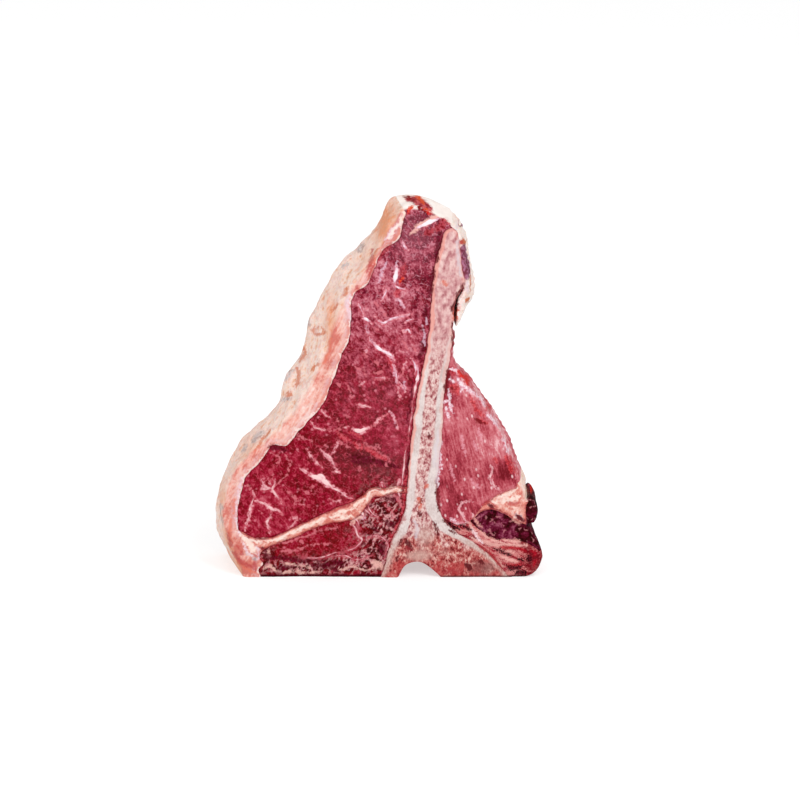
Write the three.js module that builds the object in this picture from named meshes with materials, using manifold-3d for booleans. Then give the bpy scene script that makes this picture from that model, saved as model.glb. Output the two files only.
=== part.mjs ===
// A dry-aged t-bone steak standing on its flat sawn edge, in millimetres.
// The cut face looks along -Y, +Z is up and +X is to the right of the cut face.
// Every tissue runs through the whole thickness, so each one is a solid between two wavy
// cut faces, bounded by curves it shares with its neighbours.
import * as THREE from "three";
import Module from "manifold-3d";

const wasm = await Module();
wasm.setup();

// Driving dimensions
const THICKNESS = 40; // between the two cut faces
const GAP = 0.3; // between neighbouring tissues
const CURVE_PITCH = 3.6; // length of one step along a tissue border
const OUTLINE_PITCH = 4.2; // length of one step along the outside
const FACE_PITCH = 6; // size of one cell of the wavy cut faces
const RIM = [
  // how far the outside draws in towards each cut face: [share of half thickness, mm]
  [1.2, 3.6],
  [1.0, 1.3],
  [0.91, 0.4],
  [0.76, 0],
];
const WAVE = 0.45; // height of the long waves of a cut face
const RAGGED = 0.35; // wander of the tissue borders
const FAT_CRAG = 0.75; // lumps on the outside of the fat
const LEDGE_DROP = 1.5; // step below the torn ledge in the middle of the strip loin
const LOBE = { x: -58, z: 103, y: 10, radius: 10, height: 4.6 }; // lobe on the fat cap
const OUTSIDE = 26; // how far a tissue is carried past the outside before it is trimmed

// How far each cut face of a tissue stands out from the mean plane
const PROUD = {
  t_bone: 0.55,
  strip_loin: -0.25,
  fat_cap: 0.25,
  back_muscle: -0.35,
  tenderloin: 0.1,
  kidney_fat: 0.3,
  side_muscle: -0.45,
  chine_tissue: -0.1,
  flank_flap: 0,
};

const COLOURS = {
  t_bone: 0xe0cdc4,
  strip_loin: 0x94323f,
  fat_cap: 0xecc6b2,
  back_muscle: 0x84242f,
  tenderloin: 0xb85a66,
  kidney_fat: 0xe8b8ac,
  side_muscle: 0x4e1a22,
  chine_tissue: 0xa8505a,
  flank_flap: 0xe6cfc8,
};

// Corners where tissues meet on the front cut face, [x, z]
const BONE_TOP = [30.5, 197.2];
const FLAP_ROOT = [38.2, 166.9];
const BONE_NICK = [32.9, 146];
const SEAM_UPPER = [11.3, 52.3];
const SEAM_LOWER = [11.1, 48.7];
const FOOT_LEFT = [-1.5, 0];
const FOOT_RIGHT = [69.3, 0];
const BONE_ELBOW = [30.4, 35.7];
const STAR = [46.6, 32.8];
const LUMP_LOW = [77.6, 31];
const FAT_FORK = [-80.6, 27];

// Borders between tissues on the front cut face, [x, z]
const borders = {
  fat_strip: [
    [4, 222], [3.8, 207.5], [3.4, 197.5], [0.6, 190.2], [-6.7, 185.4], [-10.6, 175.7],
    [-14.8, 166.3], [-22.2, 158.6], [-22.9, 138.6], [-27.4, 125.2], [-31.8, 111.1],
    [-36.4, 99.8], [-42.7, 91.3], [-49.5, 83.4], [-56.2, 75.6], [-63.6, 75.6],
    [-69.8, 66.6], [-77.4, 57.1], [-80.2, 45.6], [-81.6, 34.6], FAT_FORK,
  ],
  seam_top: [
    FAT_FORK, [-71, 22.3], [-62.3, 22.8], [-52.5, 27.2], [-38.4, 34.3], [-28.2, 39.3],
    [-20, 42.6], [-13, 46.8], [-8.8, 51.2], [-1.6, 50.8], [4.9, 52.6], SEAM_UPPER,
  ],
  seam_bottom: [
    SEAM_LOWER, [4.6, 49.2], [-1.6, 47.3], [-7.2, 46.2], [-11.2, 40.7], [-15.9, 34.5],
    [-23.6, 32.4], [-37.2, 29.6], [-50.2, 23], [-61.1, 19], [-67.6, 15], [-67.6, 8],
    [-68.4, 0], [-68.4, -12],
  ],
  bone_left_upper: [
    BONE_TOP, [26.4, 195], [23.9, 186.5], [21.6, 175.5], [20.6, 160.1], [20.2, 143.5],
    [18.6, 127.8], [15.9, 112.1], [13.8, 96.3], [12.3, 78.1], [11.6, 65], SEAM_UPPER,
  ],
  bone_left_seam: [SEAM_UPPER, SEAM_LOWER],
  bone_left_foot: [
    SEAM_LOWER, [10.7, 41.4], [8.4, 31.5], [4.3, 23.2], [1.6, 12.9], FOOT_LEFT, [-3.4, -12],
  ],
  bone_right_tip: [BONE_TOP, [33.4, 193.2], [35.5, 179], FLAP_ROOT],
  bone_right_slit: [FLAP_ROOT, [34.4, 159.4], [32.8, 152.4], BONE_NICK],
  bone_right: [
    BONE_NICK, [32.7, 136], [31.8, 126.8], [30.1, 112.8], [29.1, 99.2], [29.1, 82.2],
    [27.8, 63.3], [27.3, 47.2], BONE_ELBOW,
  ],
  bone_right_foot: [
    BONE_ELBOW, [38.5, 26.8], [49.9, 19.8], [59.8, 11.2], FOOT_RIGHT, [76, -12],
  ],
  flap_inner: [FLAP_ROOT, [36.6, 161.9], [35, 156.9], [34.6, 151.5], [34.9, 140]],
  tender_bottom: [BONE_ELBOW, [35, 32.8], [40, 30.8], STAR],
  kidney_top: [STAR, [54, 41.9], [60.4, 47.2], [66.3, 50.6], [72.8, 53.6], [79, 66]],
  lump_side: [LUMP_LOW, [77.6, 38], [77.9, 45.4], [84, 60]],
  kidney_bottom: [STAR, [52.5, 37.9], [59.6, 39.6], [67.5, 36.7], [71.8, 33.4], LUMP_LOW],
  side_bottom: [
    STAR, [53.5, 26.4], [59.3, 22.4], [69.9, 21.6], [78.9, 19.9], [86.4, 15.6], [98, 8],
  ],
};

// The outside, front cut face to back cut face: [x, z, shift in x, shift in z]
const SIDE_OUTLINE = [
  [-77.6, 0, -6, 0], [-80.4, 8, -6.9, 0], [-84.8, 17, -6.8, 0], [-88.4, 26, -3.4, 0],
  [-90.2, 37.5, -0.5, 0], [-88.8, 48, 0.9, 1], [-84.4, 59.3, 1.8, 1], [-77, 70, 1.8, 1.3],
  [-65, 81, 1, 1.4], [-53.2, 93, -2.6, 1.2], [-45.7, 104.3, -6.2, 1.5],
  [-40.1, 117.8, -6.6, 1], [-34.2, 132.3, -9.3, 1], [-31.4, 145.1, -7.8, 1],
  [-27, 155.7, -6.4, 2], [-21.4, 165.6, -6, 2], [-13.9, 177.3, -3.2, 1],
  [-8.4, 188.3, 0.2, 0.5], [-2.6, 199, -0.8, 0.6], [3.4, 206.4, -1.4, 0.6],
  [11.3, 207.8, 0.2, 0.4], [18.8, 206.4, 1, 0.4], [24.3, 203.4, 2, 0.2],
  [29.7, 199.8, 3, 0], [34.1, 193.2, 5, 0], [36.6, 185.6, 5.5, 0],
  [38.4, 176.8, 5.5, 0], [40, 169.2, 5.7, 0], [39.6, 161.5, 7.6, 0],
  [38.2, 153, 8.8, -1], [36.3, 146.4, 4.1, -2], [34.8, 141.5, 0.8, -3],
  [34.2, 133, 0.4, -3], [34.2, 126, 0.8, -5], [38.4, 116.8, 0.6, -2],
  [46.6, 105.6, 0.8, 0], [54.2, 94.9, 1.5, 0], [60.8, 83, 3.6, 0], [66, 72.7, 4.4, 0],
  [70.3, 62.4, 4.2, 0], [73.7, 55, 4.6, -1], [76.3, 49.6, 4.8, -2], [77.3, 45.4, 4.2, -3],
  [79.6, 45.4, 4, -2], [82.9, 43, 3.8, -1], [84.6, 38, 3.2, 0], [84.4, 33.4, 2.8, 0],
  [82.8, 30.6, 2.4, 0], [79.4, 29.4, 2.2, 0], [83.2, 24.2, 1, 0.5], [87, 16, 1, 0.5],
  [88.8, 10.6, 0.6, 0], [86.8, 4.4, 0, 0], [80.5, 0.6, 0, 0], [72, 0, 0, 0],
];
// The groove of the spinal canal in the sawn base
const CANAL = [[31.8, 0], [25.8, 5.4], [20.5, 8.7], [15.4, 8.7], [11, 6.2], [7.9, 0]];

// Smooth repeatable wander, about -1 to 1, that changes over roughly `size` mm.
function wander(x, y, z, size) {
  const a = x / size, b = y / size, c = z / size;
  return (
    (Math.sin(1.9 * a + 1.3 * c + 0.7) * Math.cos(1.1 * b - 1.7 * c + 2.1) +
      Math.sin(2.7 * c - 1.4 * a + 1.6 * b + 4.2) +
      0.6 * Math.sin(4.3 * a - 3.1 * b + 3.7 * c + 1.3)) / 2
  );
}

// Points at an even pitch along a smooth curve through control points of any width.
function along(points, pitch, closed = false) {
  const width = points[0].length;
  const last = points.length - (closed ? 0 : 1);
  const axes = [];
  for (let k = 0; k < width; k += 2) {
    const knots = points.map((p) => new THREE.Vector3(p[k], p[k + 1] ?? 0, 0));
    axes.push(new THREE.CatmullRomCurve3(knots, closed, "catmullrom", 0.5));
  }
  const out = [];
  for (let i = 0; i < last; i++) {
    const [a, b] = [points[i], points[(i + 1) % points.length]];
    const steps = Math.max(1, Math.round(Math.hypot(b[0] - a[0], b[1] - a[1]) / pitch));
    for (let j = 0; j < steps; j++) {
      const at = (i + j / steps) / last;
      out.push(axes.flatMap((axis) => [axis.getPoint(at).x, axis.getPoint(at).y]));
    }
  }
  if (!closed) out.push(points[points.length - 1].slice());
  return out;
}

// Where a point of the front cut face lies at depth y: the borders lean a little with depth.
function lean([x, z], y) {
  const deep = (y + THICKNESS / 2) / THICKNESS;
  const low = Math.min(1, Math.max(0, z / 25));
  const right = Math.min(1, Math.max(0, (x - 60) / 17));
  return [
    x + deep * (2 * Math.sin(z / 38 + 0.6) + 2.2 * right),
    z + deep * low * 1.6 * Math.sin(x / 31 + 0.4),
  ];
}

const rough = ([x, z]) => [
  x + RAGGED * wander(x, 0, z, 6),
  z + RAGGED * wander(x + 90, 0, z, 6),
];
const curve = {};
for (const [name, points] of Object.entries(borders))
  curve[name] = along(points, CURVE_PITCH).map(rough);

// One loop from named borders; a name with a leading minus is walked backwards.
function loop(...parts) {
  const out = [];
  for (const part of parts) {
    const piece = Array.isArray(part)
      ? part
      : part.startsWith("-")
        ? curve[part.slice(1)].slice().reverse()
        : curve[part];
    for (const p of piece) {
      const end = out[out.length - 1];
      if (!end || Math.hypot(end[0] - p[0], end[1] - p[1]) > 1e-6) out.push(p);
    }
  }
  const [a, b] = [out[0], out[out.length - 1]];
  if (Math.hypot(a[0] - b[0], a[1] - b[1]) < 1e-6) out.pop();
  return out;
}

function signedArea(ring) {
  let sum = 0;
  ring.forEach(([x, z], i) => {
    const [u, w] = ring[(i + 1) % ring.length];
    sum += x * w - u * z;
  });
  return sum / 2;
}

// Outward unit normals of a loop that runs anticlockwise, with the mitre at each corner.
function mitres(ring) {
  return ring.map((p, i) => {
    const a = ring[(i + ring.length - 1) % ring.length];
    const b = ring[(i + 1) % ring.length];
    const one = new THREE.Vector2(p[1] - a[1], a[0] - p[0]).normalize();
    const two = new THREE.Vector2(b[1] - p[1], p[0] - b[0]).normalize();
    const sum = one.clone().add(two);
    return sum.multiplyScalar(1 / Math.max(0.35, 1 + one.dot(two)));
  });
}

// A closed solid through rings of equal length, each ring a list of [x, y, z] at one depth.
function solidThrough(rings) {
  const n = rings[0].length;
  const flat = rings[0].map(([x, , z]) => new THREE.Vector2(x, z));
  const caps = THREE.ShapeUtils.triangulateShape(flat, []);
  const back = (rings.length - 1) * n;
  const faces = [];
  for (const [a, b, c] of caps) faces.push(a, b, c, back + a, back + c, back + b);
  for (let k = 0; k + 1 < rings.length; k++)
    for (let i = 0; i < n; i++) {
      const j = (i + 1) % n, lo = k * n, hi = lo + n;
      faces.push(lo + i, hi + i, lo + j, lo + j, hi + i, hi + j);
    }
  return fromTriangles(rings.flat(), faces);
}

function fromTriangles(points, faces) {
  const made = new wasm.Manifold(
    new wasm.Mesh({
      numProp: 3,
      vertProperties: new Float32Array(points.flat()),
      triVerts: new Uint32Array(faces),
    }),
  );
  if (made.volume() > 0) return made;
  for (let i = 0; i < faces.length; i += 3)
    [faces[i + 1], faces[i + 2]] = [faces[i + 2], faces[i + 1]];
  return fromTriangles(points, faces);
}

// The tissue inside a loop, carried straight through and a little past both cut faces.
function tissue(ring) {
  const turned = signedArea(ring) < 0 ? ring.slice().reverse() : ring;
  const past = THICKNESS / 2 + 5;
  return solidThrough(
    [-past, past].map((y) => {
      const leant = turned.map((p) => lean(p, y));
      const out = mitres(leant);
      return leant.map(([x, z], i) => [
        x - (out[i].x * GAP) / 2,
        y,
        z - (out[i].y * GAP) / 2,
      ]);
    }),
  );
}

// The whole steak: the outside with its bulge, drawn-in rims, crags and base groove.
function wholeSteak() {
  const side = along(SIDE_OUTLINE, OUTLINE_PITCH).map((p) => [...p, 1]);
  const base = along(CANAL, 2.4).map(([x, z]) => [x, z, 0, 0, 0]);
  const ring = [...side, ...base];
  const ends = RIM.map(([share, inset]) => [(-THICKNESS / 2) * share, inset]);
  const levels = [
    ...ends,
    [-5, 0],
    [6, 0],
    ...ends.map(([y, inset]) => [-y, inset]).reverse(),
  ];
  const turned = signedArea(ring) < 0 ? ring.slice().reverse() : ring;
  return solidThrough(
    levels.map(([y, inset]) => {
      const deep = Math.min(1, Math.max(0, (y + THICKNESS / 2) / (THICKNESS * 0.8)));
      const at = turned.map(([x, z, dx, dz]) => [x + dx * deep, z + dz * deep]);
      const out = mitres(at);
      return at.map(([x, z], i) => {
        const soft = turned[i][4] * Math.min(1, z / 6);
        const fat = x < 8 ? FAT_CRAG : 0.4;
        const lump =
          LOBE.height *
          Math.exp(
            -((x - LOBE.x) ** 2 + (z - LOBE.z) ** 2 + (y - LOBE.y) ** 2) / LOBE.radius ** 2,
          );
        const grow = soft * (fat * wander(x, y, z, 11) - inset + lump);
        return [x + out[i].x * grow, y, Math.max(0, z + out[i].y * grow)];
      });
    }),
  );
}

// Height of a cut face above its mean plane.
function relief(name, x, z, side) {
  let height = PROUD[name] + WAVE * wander(x, side * 40, z, 24);
  if (name === "strip_loin" && side < 0) {
    const edge = z - (78 - 0.32 * x);
    const near = Math.exp(-(((x + 4) / 24) ** 2));
    const under = Math.min(1, Math.max(0, -edge / 6)) * Math.exp(-(((edge + 10) / 22) ** 2));
    height -= LEDGE_DROP * near * under;
  }
  if (name === "t_bone" && z < 24) height -= 0.4;
  return height;
}

// A slab between the two wavy cut faces, over the rectangle that a loop covers.
function slab(name, ring) {
  const xs = ring.map((p) => Math.min(95, Math.max(-98, p[0])));
  const zs = ring.map((p) => Math.min(212, Math.max(-3, p[1])));
  const [x0, x1] = [Math.min(...xs) - 4, Math.max(...xs) + 5];
  const [z0, z1] = [Math.min(...zs) - 4, Math.max(...zs) + 5];
  const nx = Math.ceil((x1 - x0) / FACE_PITCH), nz = Math.ceil((z1 - z0) / FACE_PITCH);
  const points = [], faces = [];
  for (const side of [-1, 1])
    for (let j = 0; j <= nz; j++)
      for (let i = 0; i <= nx; i++) {
        const [x, z] = [x0 + ((x1 - x0) * i) / nx, z0 + ((z1 - z0) * j) / nz];
        points.push([x, side * (THICKNESS / 2 + relief(name, x, z, side)), z]);
      }
  const at = (i, j, far) => far * (nx + 1) * (nz + 1) + j * (nx + 1) + i;
  for (let j = 0; j < nz; j++)
    for (let i = 0; i < nx; i++) {
      const q = [[i, j], [i + 1, j], [i + 1, j + 1], [i, j + 1]];
      const f = q.map(([u, v]) => at(u, v, 0)), b = q.map(([u, v]) => at(u, v, 1));
      faces.push(f[0], f[1], f[2], f[0], f[2], f[3], b[0], b[2], b[1], b[0], b[3], b[2]);
    }
  const rim = [];
  for (let i = 0; i < nx; i++) rim.push([i, 0]);
  for (let j = 0; j < nz; j++) rim.push([nx, j]);
  for (let i = nx; i > 0; i--) rim.push([i, nz]);
  for (let j = nz; j > 0; j--) rim.push([0, j]);
  rim.forEach(([i, j], k) => {
    const [u, v] = rim[(k + 1) % rim.length];
    const [a, b, c, d] = [at(i, j, 0), at(u, v, 0), at(u, v, 1), at(i, j, 1)];
    faces.push(a, c, b, a, d, c);
  });
  return fromTriangles(points, faces);
}

const far = OUTSIDE;
const tissues = {
  strip_loin: loop("fat_strip", "seam_top", "-bone_left_upper", [[31, 212], [31, 222]]),
  fat_cap: loop(
    "fat_strip", "seam_top", "bone_left_seam", "seam_bottom",
    [[-98 - far, -12], [-98 - far, 222]],
  ),
  back_muscle: loop("seam_bottom", "-bone_left_foot"),
  t_bone: loop(
    "bone_left_upper", "bone_left_seam", "bone_left_foot", "-bone_right_foot",
    "-bone_right", "-bone_right_slit", "-bone_right_tip",
  ),
  flank_flap: loop(
    "bone_right_tip", "flap_inner",
    [[60 + far, 140], [60 + far, 222], [31, 222], [31, 212]],
  ),
  tenderloin: loop(
    "bone_right", "tender_bottom", "kidney_top",
    [[74 + far, 70], [60 + far, 139.4], [34.9, 139.4]],
  ),
  kidney_fat: loop("kidney_top", "-lump_side", "-kidney_bottom"),
  side_muscle: loop(
    "kidney_bottom", "lump_side", [[88 + far, 62], [88 + far, 8]], "-side_bottom",
  ),
  chine_tissue: loop(
    "tender_bottom", "side_bottom", [[88 + far, 4], [88 + far, -12]], "-bone_right_foot",
  ),
};

const steak = wholeSteak();
const group = new THREE.Group();
for (const [name, ring] of Object.entries(tissues)) {
  const pieces = tissue(ring).intersect(slab(name, ring)).intersect(steak).decompose();
  const body = pieces.sort((a, b) => b.volume() - a.volume())[0].simplify(0.05);
  const mesh = body.getMesh();
  const geometry = new THREE.BufferGeometry();
  geometry.setAttribute("position", new THREE.BufferAttribute(mesh.vertProperties, 3));
  geometry.setIndex(new THREE.BufferAttribute(mesh.triVerts, 1));
  const flat = geometry.toNonIndexed();
  flat.computeVertexNormals();
  const material = new THREE.MeshStandardMaterial({ color: COLOURS[name], roughness: 0.55 });
  const solid = new THREE.Mesh(flat, material);
  solid.name = name;
  group.add(solid);
}

// The frame: X and Y centred on the steak, the sawn base at Z = 0.
group.updateMatrixWorld(true);
const box = new THREE.Box3().setFromObject(group);
group.position.set(-(box.min.x + box.max.x) / 2, -(box.min.y + box.max.y) / 2, -box.min.z);
group.updateMatrixWorld(true);

export default group;
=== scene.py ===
# %% [markdown]
# # A dry-aged t-bone steak
#
# The steak stands on its sawn edge. Its cut face is a patchwork of tissues: two muscles on
# either side of a slender bone, a fat cap, a seam of fat, dark dried scraps and sinew.
# Every tissue runs through the whole thickness, so each piece here is a slab: a patch for
# each cut face, and a wall between them. The CAD solids give the size, and these pieces
# take the same borders and add grain, marbling and relief.

import math

import bpy
import numpy as np
from mathutils import Matrix, Vector


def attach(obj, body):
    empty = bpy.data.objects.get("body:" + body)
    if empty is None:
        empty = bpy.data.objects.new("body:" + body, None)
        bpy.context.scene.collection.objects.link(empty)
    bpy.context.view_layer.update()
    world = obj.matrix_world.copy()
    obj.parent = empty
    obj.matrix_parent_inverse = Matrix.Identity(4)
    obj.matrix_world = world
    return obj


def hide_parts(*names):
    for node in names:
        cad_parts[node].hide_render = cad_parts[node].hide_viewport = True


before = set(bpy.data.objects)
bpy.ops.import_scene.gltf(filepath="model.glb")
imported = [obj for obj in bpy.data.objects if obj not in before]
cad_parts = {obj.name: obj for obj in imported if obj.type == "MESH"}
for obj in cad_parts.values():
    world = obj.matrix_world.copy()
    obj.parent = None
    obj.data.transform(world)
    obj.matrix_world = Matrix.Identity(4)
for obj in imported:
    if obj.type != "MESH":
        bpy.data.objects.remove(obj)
bpy.context.view_layer.update()

# %% [markdown]
# ## Sizes
#
# Lengths below are in millimetres, as on a drawing, and turned to metres when a mesh is
# made. The cut face lies in the drawing's X and Z, and Y runs through the thickness. The
# drawing's zero is not quite the middle of the steak, so `CENTRE` moves it there.

# %% Named sizes
MM = 0.001
HALF = 20.0  # half the thickness
CENTRE = np.array([1.31, 0.03])  # from the drawing's x and y to the steak's frame
PIXEL = 0.55  # mm of steak to a pixel of the picture
WAVE = 0.45  # height of the long waves of a cut face
RAGGED = 0.35  # wander of the tissue borders
RIM_INSET, RIM_DEEP = 1.3, 4.8  # the outside draws in at a cut face, over this depth
FAT_CRAG, MEAT_CRAG = 0.75, 0.4  # lumps on the outside, on the fat cap and elsewhere
TORN = 0.32  # small crags along the tenderloin's and the flap's edge
LEDGE = dict(x=-4, z=78, slope=0.32, reach=24, drop=1.5)  # torn step in the strip loin
FOOT_SUNK, FOOT_TOP = 0.4, 26  # the bone's foot lies deeper, up to this height
GROOVE, GROOVE_REACH = 0.3, 0.8  # a shallow groove along each border
ROUNDING, ROUNDED_OVER = 0.8, 2.4  # the cut face falls off towards the outside
LOBE = dict(x=-58, z=103, y=10, radius=10, height=4.6)  # lobe on the fat cap
PROUD = dict(
    t_bone=0.55, strip_loin=-0.25, fat_cap=0.25, back_muscle=-0.35, tenderloin=0.1,
    kidney_fat=0.3, side_muscle=-0.45, chine_tissue=-0.1, flank_flap=0.0,
)  # how far each tissue's cut face stands out
print("tissues:", ", ".join(PROUD))

# %% [markdown]
# ## The camera
#
# The cut face is seen a little from the left and from above. The camera is set first,
# because marks on the face, such as veins of fat, are easiest to place where the eye sees
# them: `on_face` turns a place in the 800 by 800 picture into a place on the cut face.

# %% The camera's place
AZIMUTH, ELEVATION, ROLL = (math.radians(v) for v in (-6.0, 16.0, 2.1))
LENS, SENSOR, PICTURE = 120.0, 36.0, 800
REACH = LENS / SENSOR * PICTURE * PIXEL  # mm from the camera to what it aims at
AIM = np.array([7.5, 0.0, 96.1])

back_ray = np.array(
    [
        math.sin(AZIMUTH) * math.cos(ELEVATION),
        -math.cos(AZIMUTH) * math.cos(ELEVATION),
        math.sin(ELEVATION),
    ]
)
level_right = np.cross(-back_ray, [0, 0, 1.0])
level_right /= np.linalg.norm(level_right)
level_up = np.cross(level_right, -back_ray)
right_ray = math.cos(ROLL) * level_right + math.sin(ROLL) * level_up
up_ray = math.cos(ROLL) * level_up - math.sin(ROLL) * level_right
eye = AIM + back_ray * REACH


def on_face(marks, depth=-HALF):
    """Picture places to (x, z) on the plane y = depth, by following each sight line to it."""
    marks = np.asarray(marks, float)
    middle = PICTURE / 2
    sight = (
        -back_ray * (LENS / SENSOR * PICTURE)
        + np.outer(marks[:, 0] - middle, right_ray)
        + np.outer(middle - marks[:, 1], up_ray)
    )
    step = (depth - eye[1]) / sight[:, 1]
    return (eye + sight * step[:, None])[:, [0, 2]]


camera_data = bpy.data.cameras.new("camera")
camera_data.lens, camera_data.sensor_width = LENS, SENSOR
camera_data.clip_start = 0.05
camera = bpy.data.objects.new("camera", camera_data)
bpy.context.scene.collection.objects.link(camera)
turn = Matrix([list(row) for row in np.column_stack([right_ray, up_ray, back_ray])])
place = (eye + np.array([CENTRE[0], CENTRE[1], 0])) * MM
camera.matrix_world = Matrix.Translation(place.tolist()) @ turn.to_4x4()
bpy.context.scene.camera = camera
print("camera stands at", np.round(place, 3))

# %% [markdown]
# ## Borders between the tissues
#
# Two neighbours share one curve, so they always fit. A smooth curve through a few chosen
# points (a Catmull-Rom curve) gives the run of each border, and a small wander makes it as
# ragged as a real one. The borders lean a little with depth, because muscles do not lie
# square to the saw.


# %% Smooth curves
def smooth_curve(points, step=0.3):
    """Catmull-Rom curve: between two points, the cubic whose slopes there are half the
    difference of the neighbours on either side. Works on points of any width."""
    p = np.asarray(points, float)
    p = np.vstack([2 * p[0] - p[1], p, 2 * p[-1] - p[-2]])
    out = []
    for a, b, c, d in zip(p[:-3], p[1:-2], p[2:-1], p[3:]):
        count = max(2, int(np.hypot(*(c - b)[:2]) / step))
        t = (np.arange(count) / count)[:, None]
        m, n = (c - a) / 2, (d - b) / 2
        out.append(
            (2 * b - 2 * c + m + n) * t**3 + (3 * c - 3 * b - 2 * m - n) * t**2 + m * t + b
        )
    out.append(p[-2][None])
    return np.vstack(out)


def wander(x, y, z, size):
    """A few sines of mixed direction: smooth, repeatable, about -1 to 1 over `size` mm."""
    a, b, c = x / size, y / size, z / size
    return (
        np.sin(1.9 * a + 1.3 * c + 0.7) * np.cos(1.1 * b - 1.7 * c + 2.1)
        + np.sin(2.7 * c - 1.4 * a + 1.6 * b + 4.2)
        + 0.6 * np.sin(4.3 * a - 3.1 * b + 3.7 * c + 1.3)
    ) / 2


def lean(p, y):
    """Where a point of the front cut face lies at depth y: a slow sine across and one up,
    and on the far right a step outwards, all growing with the depth."""
    deep = (y + HALF) / (2 * HALF)
    low = np.clip(p[:, 1] / 25, 0, 1)
    right = np.clip((p[:, 0] - 60) / 17, 0, 1)
    return np.column_stack(
        [
            p[:, 0] + deep * (2 * np.sin(p[:, 1] / 38 + 0.6) + 2.2 * right),
            p[:, 1] + deep * low * 1.6 * np.sin(p[:, 0] / 31 + 0.4),
        ]
    )


# %% The borders on the front cut face, [x, z]
BONE_TOP, FLAP_ROOT, BONE_NICK = [30.5, 197.2], [38.2, 166.9], [32.9, 146]
SEAM_UPPER, SEAM_LOWER = [11.3, 52.3], [11.1, 48.7]
FOOT_LEFT, FOOT_RIGHT, BONE_ELBOW = [-1.5, 0], [69.3, 0], [30.4, 35.7]
STAR, LUMP_LOW, FAT_FORK = [46.6, 32.8], [77.6, 31], [-80.6, 27]
BORDERS = dict(
    fat_strip=[
        [4, 222], [3.8, 207.5], [3.4, 197.5], [0.6, 190.2], [-6.7, 185.4], [-10.6, 175.7],
        [-14.8, 166.3], [-22.2, 158.6], [-22.9, 138.6], [-27.4, 125.2], [-31.8, 111.1],
        [-36.4, 99.8], [-42.7, 91.3], [-49.5, 83.4], [-56.2, 75.6], [-63.6, 75.6],
        [-69.8, 66.6], [-77.4, 57.1], [-80.2, 45.6], [-81.6, 34.6], FAT_FORK,
    ],
    seam_top=[
        FAT_FORK, [-71, 22.3], [-62.3, 22.8], [-52.5, 27.2], [-38.4, 34.3], [-28.2, 39.3],
        [-20, 42.6], [-13, 46.8], [-8.8, 51.2], [-1.6, 50.8], [4.9, 52.6], SEAM_UPPER,
    ],
    seam_bottom=[
        SEAM_LOWER, [4.6, 49.2], [-1.6, 47.3], [-7.2, 46.2], [-11.2, 40.7], [-15.9, 34.5],
        [-23.6, 32.4], [-37.2, 29.6], [-50.2, 23], [-61.1, 19], [-67.6, 15], [-69, 11.5],
        [-66.8, 7.5], [-69.2, 4], [-68.4, 0], [-68.4, -12],
    ],
    bone_left_upper=[
        BONE_TOP, [26.4, 195], [23.9, 186.5], [21.6, 175.5], [20.6, 160.1], [20.2, 143.5],
        [18.6, 127.8], [15.9, 112.1], [13.8, 96.3], [12.3, 78.1], [11.6, 65], SEAM_UPPER,
    ],
    bone_left_seam=[SEAM_UPPER, SEAM_LOWER],
    bone_left_foot=[
        SEAM_LOWER, [10.7, 41.4], [8.4, 31.5], [4.3, 23.2], [1.6, 12.9], FOOT_LEFT,
        [-3.4, -12],
    ],
    bone_right_tip=[BONE_TOP, [33.4, 193.2], [35.5, 179], FLAP_ROOT],
    bone_right_slit=[FLAP_ROOT, [34.4, 159.4], [32.8, 152.4], BONE_NICK],
    bone_right=[
        BONE_NICK, [32.7, 136], [31.8, 126.8], [30.1, 112.8], [29.1, 99.2], [29.1, 82.2],
        [27.8, 63.3], [27.3, 47.2], BONE_ELBOW,
    ],
    bone_right_foot=[
        BONE_ELBOW, [38.5, 26.8], [49.9, 19.8], [59.8, 11.2], FOOT_RIGHT, [76, -12],
    ],
    flap_inner=[FLAP_ROOT, [36.6, 161.9], [35, 156.9], [34.6, 151.5], [34.9, 140]],
    tender_bottom=[BONE_ELBOW, [35, 32.8], [40, 30.8], STAR],
    kidney_top=[STAR, [54, 41.9], [60.4, 47.2], [66.3, 50.6], [72.8, 53.6], [79, 66]],
    lump_side=[LUMP_LOW, [77.6, 38], [77.9, 45.4], [84, 60]],
    kidney_bottom=[STAR, [52.5, 37.9], [59.6, 39.6], [67.5, 36.7], [71.8, 33.4], LUMP_LOW],
    side_bottom=[
        STAR, [53.5, 26.4], [59.3, 22.4], [69.9, 21.6], [78.9, 19.9], [86.4, 15.6],
        [98, 8],
    ],
)
FINE_RAG = 0.16  # extra raggedness, finer than the solids carry


def ragged(p):
    """Moves each point a little by two wanders, one coarse and one fine."""
    x, z = p[:, 0], p[:, 1]
    u = RAGGED * wander(x, 0, z, 6) + FINE_RAG * wander(x, 30, z, 1.7)
    w = RAGGED * wander(x + 90, 0, z, 6) + FINE_RAG * wander(x + 50, 30, z, 1.7)
    return p + np.column_stack([u, w])


border = {name: ragged(smooth_curve(points)) for name, points in BORDERS.items()}
print("borders:", {name: len(p) for name, p in border.items()})

# %% [markdown]
# ## The outside
#
# The outside is one curve round the steak, from the sawn base up the fat, over the tip and
# down past the tenderloin. Each point carries how far it has moved by the back cut face,
# so the outside can flare. It draws in at both cut faces, as a soft rim does, and the fat
# has crags.

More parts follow.
